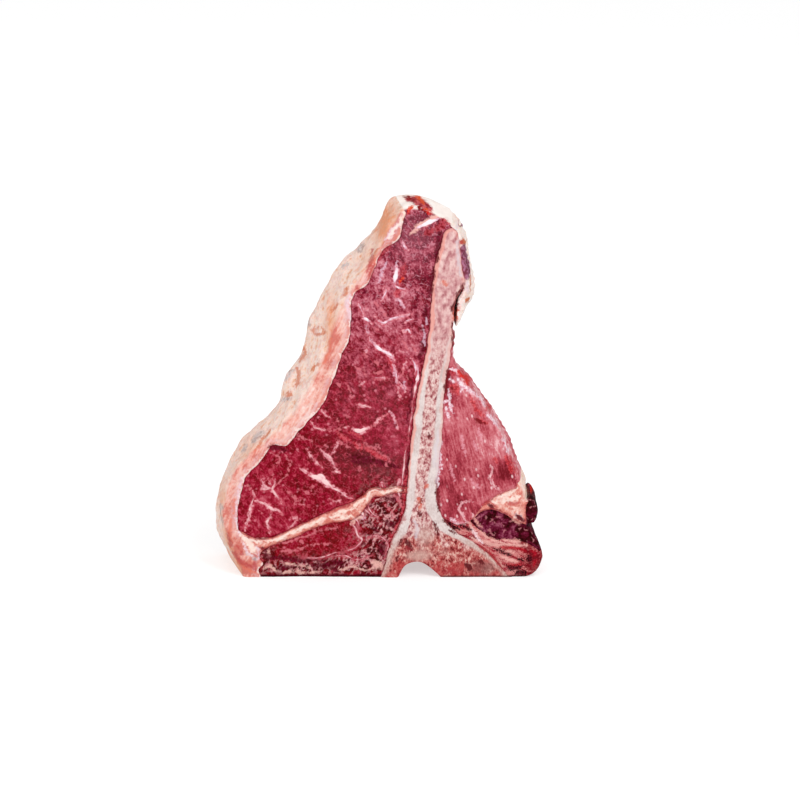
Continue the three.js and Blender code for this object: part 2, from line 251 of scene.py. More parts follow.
# %% The outside, front cut face to back: [x, z, shift in x, shift in z]
SIDE_OUTLINE = [
    [-77.6, 0, -6, 0], [-80.4, 8, -6.9, 0], [-84.8, 17, -6.8, 0], [-88.4, 26, -3.4, 0],
    [-90.2, 37.5, -0.5, 0], [-88.8, 48, 0.9, 1], [-84.4, 59.3, 1.8, 1], [-77, 70, 1.8, 1.3],
    [-65, 81, 1, 1.4], [-53.2, 93, -2.6, 1.2], [-45.7, 104.3, -6.2, 1.5],
    [-40.1, 117.8, -6.6, 1], [-34.2, 132.3, -9.3, 1], [-31.4, 145.1, -7.8, 1],
    [-27, 155.7, -6.4, 2], [-21.4, 165.6, -6, 2], [-13.9, 177.3, -3.2, 1],
    [-8.4, 188.3, 0.2, 0.5], [-2.6, 199, -0.8, 0.6], [3.4, 206.4, -1.4, 0.6],
    [11.3, 207.8, 0.2, 0.4], [18.8, 206.4, 1, 0.4], [24.3, 203.4, 2, 0.2],
    [29.7, 199.8, 3, 0], [34.1, 193.2, 5, 0], [36.6, 185.6, 5.5, 0],
    [38.4, 176.8, 5.5, 0], [40, 169.2, 5.7, 0], [39.6, 161.5, 7.6, 0],
    [38.2, 153, 8.8, -1], [36.3, 146.4, 4.1, -2], [34.8, 141.5, 0.8, -3],
    [34.2, 133, 0.4, -3], [34.2, 126, 0.8, -5], [38.4, 116.8, 0.6, -2],
    [46.6, 105.6, 0.8, 0], [54.2, 94.9, 1.5, 0], [60.8, 83, 3.6, 0], [66, 72.7, 4.4, 0],
    [70.3, 62.4, 4.2, 0], [73.7, 55, 4.6, -1], [76.3, 49.6, 4.8, -2], [77.4, 44.8, 4.2, -3],
    [79.4, 45.9, 4, -2], [82.2, 42.6, 3.8, -1], [84.1, 38, 3.2, 0], [84.1, 33.4, 2.8, 0],
    [82.8, 30.6, 2.4, 0], [79.4, 29.4, 2.2, 0], [83.2, 24.2, 1, 0.5], [87, 16, 1, 0.5],
    [88.8, 10.6, 0.6, 0], [86.8, 4.4, 0, 0], [80.5, 0.6, 0, 0], [72, 0, 0, 0],
]
CANAL = [[31.8, 0], [25.8, 5.4], [20.5, 8.7], [15.4, 8.7], [11, 6.2], [7.9, 0]]


def normals_of(p):
    """Unit normals to the left of the direction of travel: the outside of this outline."""
    d = np.gradient(p, axis=0)
    d /= np.linalg.norm(d, axis=1, keepdims=True) + 1e-12
    return np.column_stack([-d[:, 1], d[:, 0]])


outline = smooth_curve(SIDE_OUTLINE)
outline = np.column_stack(
    [
        outline,
        normals_of(outline[:, :2]),
        normals_of(outline[:, :2] + outline[:, 2:4]),
    ]
)


def outside(q, y):
    """Points of the outside at depth y: the front curve plus its shift, moved along its
    normal by the crags and the lobe, less the inset that grows towards each cut face."""
    deep = np.clip((y + HALF) / (1.6 * HALF), 0, 1)
    x, z = q[:, 0] + q[:, 2] * deep, q[:, 1] + q[:, 3] * deep
    n = q[:, 4:6] * (1 - deep)[:, None] + q[:, 6:8] * deep[:, None]
    soft = np.clip(z / 6, 0, 1)
    torn = np.clip((z - 54) / 6, 0, 1) * np.clip((x - 28) / 4, 0, 1) * wander(x, y / 3, z, 1.8)
    crag = np.where(x < 8, FAT_CRAG, MEAT_CRAG)
    near = np.clip((np.abs(y) - HALF + RIM_DEEP) / RIM_DEEP, 0, 1)
    lobe = LOBE["height"] * np.exp(
        -((x - LOBE["x"]) ** 2 + (z - LOBE["z"]) ** 2 + (y - LOBE["y"]) ** 2)
        / LOBE["radius"] ** 2
    )
    crease = np.where(x < 8, 0.45, 0.3) * wander(x, 0.6 * y, z, 3.1) * wander(y, x, z, 7.7)
    grow = soft * (
        crag * wander(x, y, z, 11) + lobe - RIM_INSET * near**2.2 + crease * (1 - near)
        + TORN * torn
    )
    return np.column_stack([x + n[:, 0] * grow, np.maximum(0, z + n[:, 1] * grow)])


print("outline:", len(outline), "points, reaches x", outline[:, 0].min(), outline[:, 0].max())

# %% [markdown]
# ## Edges of a patch
#
# A patch has four edges. An edge is a run of points on the front cut face, the matching
# run on the back one and, where the edge lies on the outside, the outline points it came
# from. Edges can be cut, turned round and joined end to end.


# %% Making, cutting and joining edges
def edge(front, back=None, q=None):
    """An edge from its front points; the back ones follow by the lean of the borders."""
    back = lean(front, HALF) if back is None else back
    q = np.full((len(front), 8), np.nan) if q is None else q
    return np.column_stack([front, back, q])


def on_outside(first, last):
    """The edge along the outside between two places of the outline, either way round."""
    step = 1 if last >= first else -1
    q = outline[first : (last + step) if last + step >= 0 else None : step]
    y = np.full(len(q), HALF)
    return edge(outside(q, -y), outside(q, y), q)


def place_on_outline(x, z):
    """The number of the outline point nearest to (x, z)."""
    return int(np.argmin(np.hypot(outline[:, 0] - x, outline[:, 1] - z)))


def meets(name):
    """Where a border crosses the outline: the closest pair of points of the two."""
    gap = np.linalg.norm(border[name][:, None] - outline[None, :, :2], axis=2)
    return np.unravel_index(np.argmin(gap), gap.shape)


LEAVES = {name: meets(name) for name in ("fat_strip", "kidney_top", "lump_side", "side_bottom")}


def along(name):
    """A whole border as an edge, cut at the base, or where it leaves the steak and there
    moved onto the outside, with the move eased out over 8 mm."""
    e = edge(border[name])
    if e[-1, 1] < 0:
        e = e[: int(np.argmax(e[:, 1] < 0)) + 1]
        e[-1, [1, 3]] = 0
    if name in LEAVES:
        at, place = LEAVES[name]
        e, end = (e[at:], 0) if name == "fat_strip" else (e[: at + 1], -1)
        q, y = outline[place : place + 1], np.array([HALF])
        goal = np.concatenate([outside(q, -y)[0], outside(q, y)[0]])
        near = np.clip(1 - np.linalg.norm(e[:, :2] - e[end, :2], axis=1) / 8, 0, 1) ** 2
        e[:, :4] += near[:, None] * (goal - e[end, :4])
    return e


def joined(*edges):
    """Edges end to end, without repeating the shared points."""
    return np.vstack([edges[0], *(e[1:] for e in edges[1:])])


def straight(a, b, count=12):
    """A straight edge from the point a to the point b, each a row of another edge."""
    t = np.linspace(0, 1, count)[:, None]
    return np.column_stack([a[:4] * (1 - t) + b[:4] * t, np.full((count, 8), np.nan)])


run = {name: along(name) for name in BORDERS}
print("borders leave the steak at", {k: np.round(outline[v[1], :2], 1) for k, v in LEAVES.items()})

# %% [markdown]
# ## A slab from four edges
#
# The face of a slab is a Coons patch: it blends the left and right edges across, and the
# bottom and top edges up, and takes away the corners that this counts twice. Front and
# back patches share one grid, and a wall of rings joins their rims, so the slab is closed
# by the way it is made. Where the rim lies on the outside, the wall bulges with it.


# %% A patch and its relief
def spaced(e, count):
    """Points at even steps along the front; those on the outside are worked out afresh."""
    steps = np.linalg.norm(np.diff(e[:, :2], axis=0), axis=1)
    gone = np.concatenate([[0], np.cumsum(steps)])
    at = np.linspace(0, gone[-1], count)
    out = np.column_stack([np.interp(at, gone, e[:, k]) for k in range(e.shape[1])])
    on = np.isfinite(out[:, 4])
    y = np.full(on.sum(), HALF)
    out[on, :2], out[on, 2:4] = outside(out[on, 4:], -y), outside(out[on, 4:], y)
    return out


def coons(left, right, bottom, top):
    """Coons patch: across blend plus up blend less the blend of the corners."""
    u = np.linspace(0, 1, len(bottom))[None, :, None]
    v = np.linspace(0, 1, len(left))[:, None, None]
    across = (1 - u) * left[:, None] + u * right[:, None]
    upward = (1 - v) * bottom[None] + v * top[None]
    low = (1 - u) * (1 - v) * bottom[0] + u * (1 - v) * bottom[-1]
    high = (1 - u) * v * top[0] + u * v * top[-1]
    return across + upward - low - high


def distance_to(points, line):
    """Smallest distance from each point to a run of line points, a block at a time."""
    out = np.full(len(points), 99.0)
    for k in range(0, len(points) if len(line) else 0, 3000):
        d = points[k : k + 3000, None] - line[None]
        out[k : k + 3000] = np.sqrt(np.einsum("ijk,ijk->ij", d, d).min(1))
    return out


GRAIN = dict(  # height of the small lumps of a cut face
    t_bone=0.06, strip_loin=0.1, fat_cap=0.14, back_muscle=0.14, tenderloin=0.08,
    kidney_fat=0.22, side_muscle=0.35, chine_tissue=0.25, flank_flap=0.18,
)


def face_height(node, x, z, side):
    """How far a cut face stands out: its tissue's mean, long waves and small lumps, and on
    the front the step under the torn ledge of the strip loin."""
    h = PROUD[node] + WAVE * wander(x, side * 40, z, 24)
    if node == "strip_loin" and side < 0:
        over = z - (LEDGE["z"] - LEDGE["slope"] * x)
        near = np.exp(-(((x - LEDGE["x"]) / LEDGE["reach"]) ** 2))
        under = np.clip(-over / 6, 0, 1) * np.exp(-(((over + 10) / 22) ** 2))
        h = h - LEDGE["drop"] * near * under
    if node == "t_bone":
        h = h - FOOT_SUNK * np.clip((FOOT_TOP - z) / 4, 0, 1)
    lumps = wander(x, side, z, 3.3) * wander(z, 5, x, 5.1) + 0.5 * wander(x, 9 * side, z, 1.5)
    return h + GRAIN[node] * lumps


# %% A closed slab
ROLL_OUT = 26  # an unseen outside is read this far out at a depth of 26 mm
FLAP_SEEN = 12  # depth to which the picture shows the flap's own side


def slab(node, left, right, bottom, top, across, up, deep, same=None):
    """A closed slab. Bottom and top run left to right, and left and right run upwards.
    `same` is an edge that only parts two pieces of one tissue, so it gets no groove."""
    left, right = spaced(left, up), spaced(right, up)
    bottom, top = spaced(bottom, across), spaced(top, across)
    for side, i in ((left, 0), (right, -1)):
        for level, j in ((bottom, 0), (top, -1)):
            if np.isfinite(level[i, 4]):
                side[j] = level[i]
            else:
                level[i] = side[j]
    grid = coons(left[:, :4], right[:, :4], bottom[:, :4], top[:, :4]).reshape(-1, 4)
    cell = np.arange(across * up).reshape(up, across)
    ring = np.concatenate([cell[0, :-1], cell[:-1, -1], cell[-1, :0:-1], cell[:0:-1, 0]])
    rows = np.vstack([bottom[:-1], right[:-1], top[:0:-1], left[:0:-1]])
    on = np.isfinite(rows[:, 4])

    inner = rows[~on & (rows[:, 1] > 0.3), :2]
    if same is not None:
        inner = inner[distance_to(inner, same[:, :2]) > 0.4]
    to_border = distance_to(grid[:, :2], inner)
    to_outside = distance_to(grid[:, :2], rows[on, :2])

    faces = []
    for side, xz in ((-1, grid[:, :2]), (1, grid[:, 2:])):
        h = face_height(node, xz[:, 0], xz[:, 1], side)
        h -= GROOVE * np.exp(-((to_border / GROOVE_REACH) ** 2))
        h -= ROUNDING * np.clip(1 - to_outside / ROUNDED_OVER, 0, 1) ** 2
        faces.append(np.column_stack([xz[:, 0], side * (HALF + h), xz[:, 1]]))
    front, back = faces

    s = np.arange(1, deep) / deep
    s = 0.5 * s + 0.25 * (1 - np.cos(np.pi * s))
    wall = front[ring] + s[:, None, None] * (back[ring] - front[ring])
    for k in range(deep - 1):
        y = np.full(on.sum(), (2 * s[k] - 1) * HALF)
        wall[k][np.ix_(on, [0, 2])] = outside(rows[on, 4:], y)
    xyz = np.vstack([front, back, wall.reshape(-1, 3)])

    n, m = len(grid), len(ring)
    quad = np.stack([cell[:-1, :-1], cell[:-1, 1:], cell[1:, 1:], cell[1:, :-1]], -1)
    quad = quad.reshape(-1, 4)
    ids = [ring, *(2 * n + k * m + np.arange(m) for k in range(deep - 1)), ring + n]
    bands = [
        np.column_stack([np.roll(a, -1), a, b, np.roll(b, -1)]) for a, b in zip(ids, ids[1:])
    ]
    u = np.tile(np.linspace(0, 1, across), up)
    v = np.repeat(np.linspace(0, 1, up), across)
    way = np.roll(rows[:, :2], -1, axis=0) - np.roll(rows[:, :2], 1, axis=0)
    out = np.column_stack([way[:, 1], -way[:, 0]])
    out /= np.linalg.norm(out, axis=1)[:, None] + 1e-9
    unseen = np.clip(0.5 - 12 * (out @ back_ray[[0, 2]]), 0, 1)[:, None]
    depth = wall[:, :, 1:2] + HALF
    out = np.column_stack([out[:, 0], 0 * out[:, 0], out[:, 1]])
    depth = np.maximum(depth - (FLAP_SEEN if node == "flank_flap" else 0), 0)
    drawn_at = wall + unseen * out * depth**2 / ROLL_OUT
    skin = np.concatenate([np.zeros(2 * n), np.tile(on.astype(float), deep - 1)])
    flat = np.vstack([front, np.column_stack([grid[:, 0], np.full(n, -HALF), grid[:, 1]])])
    return dict(
        xyz=xyz,
        quads=np.vstack([quad, quad[:, ::-1] + n, *bands]),
        marked_at=np.vstack([flat, drawn_at.reshape(-1, 3)]),
        is_back=np.arange(len(xyz)) // n == 1,
        u=np.concatenate([u, u, np.tile(u[ring], deep - 1)]),
        v=np.concatenate([v, v, np.tile(v[ring], deep - 1)]),
        loop=rows[:, :2],
        skin=skin * np.clip((HALF - np.abs(xyz[:, 1])) / 3, 0, 1),
        rim=np.concatenate([to_border, to_border, np.full((deep - 1) * m, 9.0)]),
    )


# %% [markdown]
# ## Marks
#
# Veins of fat, dark scars and rusty stains are drawn as strokes, and so are painted
# shadows and painted highlights: a half width and a few places in the picture, in pixels,
# listed tissue by tissue. Every point of the steak knows its own place in the picture, so
# its distance to the nearest stroke is one number, kept with the point for the finish to
# read. The back cut face reads the same strokes warped, so that it is marbled in the same
# manner but not alike. An outside that the picture does not show is rolled out flat beside
# the cut face for this, so that strokes fade away along it instead of running through the
# thickness as bands.


# %% Veins of fat on the strip loin
STRIP_VEINS = [
    (1.5, [(369, 337), (373, 343), (379, 348.5), (386, 352.5), (391, 355.5), (395, 360)]),
    (0.6, [(393, 364), (396, 371), (397, 379), (401, 384), (405, 388), (404, 393)]),
    (0.5, [(358, 303), (361, 309), (364, 315)]), (1.1, [(363, 317), (367, 320), (371, 323)]),
    (0.9, [(375, 318), (384, 323), (392, 319), (400, 317), (405, 316), (412, 313)]),
    (0.8, [(403, 332), (408, 330), (411, 334)]), (0.7, [(396, 299), (400, 301), (404, 305)]),
    (1.7, [(397, 266), (396, 275), (394, 284)]), (0.7, [(394, 285), (400, 288), (406, 289)]),
    (0.6, [(384, 287), (386, 291), (384, 296), (380, 302)]),
    (0.8, [(402, 242), (405, 247), (408, 251)]),
    (1.6, [(415, 229), (422, 226), (428, 223), (435, 220), (440, 218)]),
    (1.0, [(357, 405), (363, 406), (369, 407)]),
    (1.5, [(352, 428), (356, 430.5), (361, 431.2), (365, 429.3), (370, 428.6)]),
    (0.6, [(310, 421), (315, 427), (320, 429), (327, 430)]),
    (0.5, [(321, 410), (325, 414), (329, 418)]), (0.6, [(342, 428), (349, 427)]),
    (0.35, [(375, 423), (379, 420), (383, 417)]),
    (0.35, [(389, 412), (394, 418), (397, 424), (398, 429)]),
    (0.55, [(306, 449), (310, 455), (314, 460), (319, 465), (323, 468)]),
    (1.0, [(321, 449), (325, 454), (329, 457), (333, 463), (336, 469)]),
    (0.4, [(330, 457), (334, 450), (338, 443)]), (1.0, [(334, 471), (339, 473)]),
    (0.8, [(300, 468), (307, 472), (314, 477)]),
    (2.6, [(309, 475), (316, 477.5), (322, 480), (328, 484), (334, 488)]),
    (2.0, [(316, 477), (321.5, 476), (326, 480.5)]),
    (0.9, [(326, 484), (334, 489), (342, 493), (347, 497), (352, 498)]),
    (0.7, [(383, 488), (382.5, 483)]), (0.8, [(397, 487), (399, 480)]),
    (0.5, [(329, 498), (334, 501), (340, 501)]), (0.8, [(264, 484), (263, 489), (272, 489)]),
    (0.8, [(275, 480), (274, 485), (272, 489), (276, 495), (282, 502)]),
    (0.7, [(261, 478), (265, 486), (272, 489)]), (0.6, [(268, 479), (271, 486)]),
    (1.1, [(256, 501), (262, 503), (268, 506), (272, 509), (280, 512)]),
    (0.7, [(252, 490), (254, 497), (252, 503), (250, 510), (249, 517), (247, 523), (245, 530)]),
    (0.8, [(270, 513), (270, 517), (267, 523), (269, 528), (270, 533)]),
    (0.7, [(292, 518), (297, 518)]), (0.35, [(297, 520), (292, 525), (288, 528)]),
    (0.4, [(303, 505), (305, 505)]), (0.5, [(365, 352), (368, 350)]),
    (0.9, [(361, 384), (364, 382)]), (0.45, [(374, 378), (386, 378)]),
    (0.4, [(404, 322), (414, 319)]), (0.4, [(397, 385), (399, 392), (401, 398)]),
    (0.7, [(410, 358), (414, 362), (416, 368), (415, 374)]), (0.5, [(406, 362), (404, 368)]),
]
print("veins on the strip loin:", len(STRIP_VEINS))

# %% Pale threads on the other tissues
STRIP_THREADS = [
    (0.7, [(401, 489), (403, 478), (404, 468), (405, 455), (407, 446)]),
    (0.6, [(408, 440), (410, 425), (412, 412), (413, 402)]),
    (1.3, [(413, 400), (415, 390), (417, 380), (418, 371), (418, 364)]),
]
BACK_THREADS = [
    (1.0, [(350, 522), (355, 528), (358, 536), (362, 540), (356, 547), (345, 552)]),
    (0.45, [(345, 552), (335, 553), (320, 558), (300, 558)]),
    (1.0, [(359, 511), (363, 515), (364, 521)]), (0.8, [(364, 509), (369, 513), (371, 516)]),
    (0.8, [(398, 491), (400, 497)]), (0.6, [(352, 517), (357, 521), (359, 527)]),
    (0.45, [(330, 557), (345, 556), (357, 560), (372, 556)]),
    (0.5, [(366, 540), (374, 536), (383, 538), (388, 546), (384, 558)]),
    (0.5, [(372, 497), (368, 505), (372, 513), (379, 518)]),
]
TENDER_THREADS = [
    (0.8, [(491, 466), (492, 472), (490, 478), (493, 484), (500, 491)]),
    (0.8, [(472, 501), (466, 501), (461, 504), (460, 510), (463, 517), (469, 524)]),
]
SINEWS = [
    (1.0, [(469, 524), (474, 531), (480, 538)]),
    (1.3, [(470, 537), (482, 541), (495, 545), (512, 545), (527, 545)]),
    (1.0, [(480, 531), (490, 539), (504, 543)]), (1.1, [(500, 555), (508, 559), (518, 561)]),
    (0.8, [(499, 547.5), (506, 550), (513, 553)]), (0.9, [(503, 539), (512, 541), (520, 541)]),
    (0.7, [(496, 560), (503, 566)]), (1.0, [(476, 545), (488, 555), (498, 565), (504, 572)]),
    (1.2, [(512, 506), (518, 512), (514, 520), (522, 524)]),
    (1.0, [(473, 514), (476, 520), (481, 527)]),
]
FAINT = [  # thinner, rosier threads
    # strip loin, upper half
    (0.8, [(362, 352), (367, 357)]), (0.8, [(355, 366), (360, 371)]),
    (0.8, [(376, 361), (378, 365)]), (0.7, [(347, 384), (350, 390)]),
    (0.7, [(366, 328), (368, 336)]), (0.7, [(372, 327), (378, 331)]),
    (0.7, [(363, 366), (366, 376)]), (0.8, [(381, 309), (386, 316)]),
    (1.4, [(375, 303), (378, 306)]), (0.9, [(371, 371), (377, 373), (383, 372)]),
    (0.7, [(370, 378), (380, 379), (390, 378)]), (1.1, [(337, 383), (339, 386)]),
    (0.7, [(402, 340), (408, 350)]), (0.7, [(412, 345), (416, 352)]),
    (0.7, [(350, 392), (353, 398)]), (0.8, [(407, 362), (403, 370), (401, 376), (397, 382)]),
    (0.8, [(404, 376), (409, 379)]),
    # strip loin, lower half
    (0.9, [(345, 415), (349, 417)]), (0.8, [(343, 444), (346, 445)]),
    (0.9, [(325, 445), (328, 446)]), (0.9, [(384, 462), (388, 467)]),
    (0.8, [(359, 466), (360, 472)]), (0.9, [(310, 441), (312, 442)]),
    (0.7, [(369, 429), (375, 424), (383, 417), (388, 413)]),
    (0.7, [(327, 430), (336, 430), (342, 428)]), (0.8, [(336, 418), (338, 420)]),
    (0.8, [(376, 444), (381, 452)]), (0.8, [(313, 485), (310, 491)]),
    (0.8, [(305, 492), (309, 495)]), (0.9, [(247, 484), (250, 490)]),
    (0.7, [(283, 489), (291, 494), (300, 505)]), (0.7, [(294, 495), (298, 500), (295, 505)]),
    (0.7, [(290, 470), (284, 478), (276, 485)]), (0.8, [(270, 509), (278, 512), (284, 515)]),
    (0.7, [(258, 510), (262, 513)]), (0.8, [(252, 505), (250, 515), (247, 526)]),
    (0.8, [(272, 473), (274, 480)]), (0.7, [(285, 455), (290, 463), (288, 470)]),
    (0.8, [(270, 452), (280, 458), (277, 466)]), (0.8, [(296, 432), (302, 438), (308, 440)]),
    (0.8, [(338, 438), (343, 444), (350, 447)]), (1.2, [(340, 434), (344, 438), (348, 441)]),
    (1.3, [(356, 443), (359, 449)]), (1.2, [(364, 443), (370, 447), (376, 450)]),
    (1.0, [(378, 452), (384, 456), (390, 460)]),
    # muscle below the seam
    (0.7, [(272, 545), (290, 541), (306, 536), (322, 530), (338, 527)]),
    (0.7, [(296, 549), (312, 545), (328, 544)]), (0.7, [(280, 552), (292, 551), (302, 549)]),
    (0.8, [(300, 540), (303, 544)]), (0.8, [(312, 527), (316, 530)]),
    (1.0, [(385, 505), (391, 512), (396, 520)]), (1.0, [(392, 494), (399, 500), (402, 508)]),
    # tenderloin
    (0.9, [(478, 428), (482, 440)]), (0.9, [(461, 434), (464, 448), (466, 456)]),
    (0.8, [(473, 440), (477, 452)]), (0.8, [(450, 465), (454, 480)]),
    (0.8, [(472, 480), (480, 490)]), (0.9, [(452, 520), (458, 523), (466, 526)]),
]
LILAC = [  # bluish white: painted highlights where the wet cut mirrors the light, and pale tissue in places
    # tip and flap
    (1.2, [(455, 219), (458, 228)]), (1.2, [(468, 282), (467, 292)]),
    # strip loin, upper half
    (1.4, [(397, 262), (396, 272), (394, 283)]), (1.2, [(396, 298), (400, 302), (404, 306)]),
    (0.8, [(370, 338), (376, 346)]), (0.8, [(387, 352), (394, 360)]),
    (0.8, [(364, 317), (370, 322)]), (0.4, [(366, 327), (369, 334)]),
    (0.5, [(422, 325), (424, 333), (424, 345)]), (0.4, [(426, 318), (427, 324)]),
    (0.9, [(402, 242), (405, 248)]), (0.8, [(393, 365), (396, 374), (397, 382)]),
    (0.9, [(405, 382), (404, 390)]), (0.8, [(386, 262), (382, 272), (379, 282)]),
    # strip loin, lower half
    (0.2, [(389, 412), (394, 418), (397, 427)]),
    # fat cap
    (0.5, [(242, 480), (239, 492), (237, 506), (236, 520), (239, 533)]),
    (1.2, [(350, 294), (347, 303), (349, 314), (351, 322)]),
    (2.0, [(385, 240), (393, 231), (401, 222)]), (0.9, [(244, 544), (247, 551), (252, 557)]),
    (0.6, [(257, 547), (259, 552), (258, 559)]),
    # muscle below the seam
    (1.2, [(364, 520), (361, 516)]),
    # bone
    (0.8, [(439, 430), (436, 450), (434, 468)]), (1.0, [(414, 520), (417, 530), (416, 540)]),
    (1.2, [(439, 452), (438, 470), (437.5, 486)]),
    # tenderloin
    (0.9, [(444, 403), (447, 401), (450, 404), (453, 412)]),
    (0.7, [(449, 390), (449.5, 395), (449, 399)]), (0.8, [(446, 407), (447, 412), (449, 418)]),
    (1.0, [(450, 369), (455, 371), (459, 374)]), (1.0, [(450, 378), (453, 382)]),
    (1.2, [(458, 379), (461, 386), (461, 393)]), (1.6, [(464, 386), (469, 389), (474, 394)]),
    (1.0, [(476, 393), (481, 399), (485, 406)]), (1.8, [(487, 414), (493, 419), (499, 426)]),
    (1.2, [(503, 438), (507, 446), (509, 454)]), (0.6, [(441, 442), (440, 452), (442, 468)]),
    (1.1, [(457.5, 238), (457.5, 250), (458.5, 262), (461, 277)]),
    (0.3, [(450, 519), (455, 521), (459, 524)]),
    # scraps right of the foot
    (0.8, [(472, 528), (476, 535), (482, 543)]), (1.6, [(515, 513), (519, 517), (522, 519)]),
]
print("threads:", len(STRIP_THREADS + BACK_THREADS + TENDER_THREADS + SINEWS + FAINT + LILAC))

# %% Dark scars and painted shadows, rusty stains and grey patches
DARK = [
    # tip and flap
    (1.0, [(403, 196.5), (408, 197), (414, 200)]), (1.3, [(418, 207), (422, 210), (427, 213)]),
    # strip loin, upper half
    (2.6, [(441, 232), (438, 245), (436, 262)]), (2.0, [(434, 268), (431, 285), (429, 298)]),
    (1.8, [(427, 305), (425, 318)]), (2.0, [(424, 340), (422, 350), (420, 358)]),
    # strip loin, lower half
    (1.3, [(413, 382), (411, 400), (409, 420), (408, 432)]),
    (1.3, [(408, 446), (407, 460), (404, 478), (402, 494)]),
    # painted shadow under the torn ledge
    (2.4, [(348, 455), (360, 458), (372, 461), (384, 464), (398, 467)]),
    (1.4, [(352, 461), (366, 463)]),
    # fat cap
    (2.0, [(268, 446), (278, 448), (288, 452)]),
    # muscle below the seam
    (1.6, [(262, 548), (268, 553), (264, 557)]),
    (1.8, [(265, 559), (285, 558), (305, 561), (325, 560)]), (2.0, [(278, 568), (292, 568)]),
    (2.0, [(312, 567), (325, 566), (338, 571)]), (2.6, [(326, 564), (338, 563), (345, 566)]),
    # painted contact shadow along the base
    (1.6, [(262, 576), (285, 576), (310, 576), (340, 576), (380, 575)]),
    (3.2, [(380, 544), (383, 549), (383, 556)]), (1.6, [(372, 528), (377, 532)]),
    (1.6, [(366, 508), (372, 505)]), (2.0, [(384, 498), (391, 500), (397, 497)]),
    (2.0, [(386, 522), (394, 526), (398, 518)]),
    # bone
    (1.0, [(449, 530), (455, 533)]), (2.2, [(406, 540), (409, 545), (411, 551)]),
    (1.4, [(402, 539), (400, 546)]), (1.2, [(398, 556), (397, 561)]),
    (1.2, [(418, 512), (421, 516)]), (1.0, [(421, 499), (420, 503)]),
    (2.6, [(466, 565), (470, 568)]), (1.6, [(478, 560), (484, 563)]),
    (1.4, [(428, 434), (430, 437)]), (1.0, [(434, 522), (438, 534)]),
    # tenderloin
    (1.4, [(449, 368), (448, 376), (446, 388), (449, 396)]), (0.8, [(452, 388), (454, 391)]),
    (0.8, [(475, 418), (479, 421), (485, 424)]), (1.8, [(456.5, 299), (454.5, 305), (453, 314)]),
    (1.0, [(464, 284), (460, 291), (456, 298)]), (1.2, [(453, 322), (453, 335), (453, 347)]),
    (1.4, [(438, 476), (437, 488), (438, 500), (439, 512)]),
    # scraps right of the foot
    (1.7, [(443, 520), (451, 525), (459, 529)]), (0.9, [(461, 526), (466, 528), (472, 530)]),
    # the next three lines hold painted shadow at the lower right, between the tendons and along the
    # base
    (1.6, [(507, 566), (514, 569), (521, 566)]), (0.9, [(518, 558), (523, 560)]),
    (0.9, [(494, 548.5), (502, 551), (511, 555.5)]), (2.4, [(516, 573), (526, 573)]),
    (2.2, [(529, 557), (530, 561)]), (1.6, [(489, 505), (493, 508), (491, 512)]),
    (1.6, [(515, 513), (520, 518), (524, 521)]),
]
RUST = [
    # tip and flap
    (1.6, [(416, 197), (420, 199), (423, 203)]), (1.3, [(424, 209), (428, 212), (431, 214)]),
    (1.4, [(407, 212), (410, 209), (413, 207)]), (2.6, [(461, 242), (464, 241), (466, 244)]),
    (1.3, [(470.5, 275), (472, 283), (472, 291)]), (1.8, [(466, 301), (471, 299)]),
    (2.4, [(457, 308), (455.5, 314), (455, 320)]),
    # strip loin, upper half
    (1.2, [(403, 277), (401, 283)]),
    # fat cap
    (1.0, [(331, 338), (329, 350), (326, 360), (322, 363)]),
    (1.0, [(319, 363), (315, 367), (311, 370)]), (1.2, [(304, 347), (304, 354), (300, 362)]),
    (1.4, [(296, 367), (299, 376), (295, 387)]), (1.8, [(286, 396), (291, 393)]),
    (0.9, [(318, 326), (313, 330), (317, 335), (324, 332), (322, 327)]),
    (1.0, [(235, 498), (234, 506), (233, 514)]), (1.0, [(378, 248), (374, 258), (370, 268)]),
    (1.0, [(348, 288), (343, 296)]), (0.9, [(338, 303), (332, 312)]),
    (1.2, [(238, 562), (246, 568), (254, 572)]), (1.0, [(270, 430), (262, 440), (255, 452)]),
    (1.0, [(232, 520), (229, 532), (232, 542)]),
    # seam
    (1.0, [(356, 504), (362, 498), (370, 494)]),
    # bone
    (1.4, [(419, 508), (422, 505)]), (1.2, [(426, 488), (427, 484)]),
    (1.2, [(418, 498), (420, 502)]),
    # tenderloin
    (2.3, [(458, 371), (463, 375), (467, 379), (469, 384)]),
    (1.6, [(442, 280), (445, 283), (446, 285)]),
]
GREY = [
    # tip and flap
    (5.2, [(464, 246), (464.5, 256), (465.5, 266), (466.5, 278)]),
    (1.2, [(459, 221), (462, 225)]),
    # fat cap
    (2.0, [(263, 431), (257, 437), (252, 442)]), (0.7, [(247, 446), (242, 451)]),
    (1.6, [(364, 245), (358, 251)]), (1.4, [(347, 263), (343, 268)]),
    (0.8, [(246, 552), (251, 556), (256, 560)]), (1.2, [(221, 505), (220, 515), (222, 526)]),
    (1.4, [(283, 400), (290, 398)]), (1.0, [(300, 310), (308, 320), (305, 330)]),
    (1.2, [(284, 380), (292, 371)]),
]
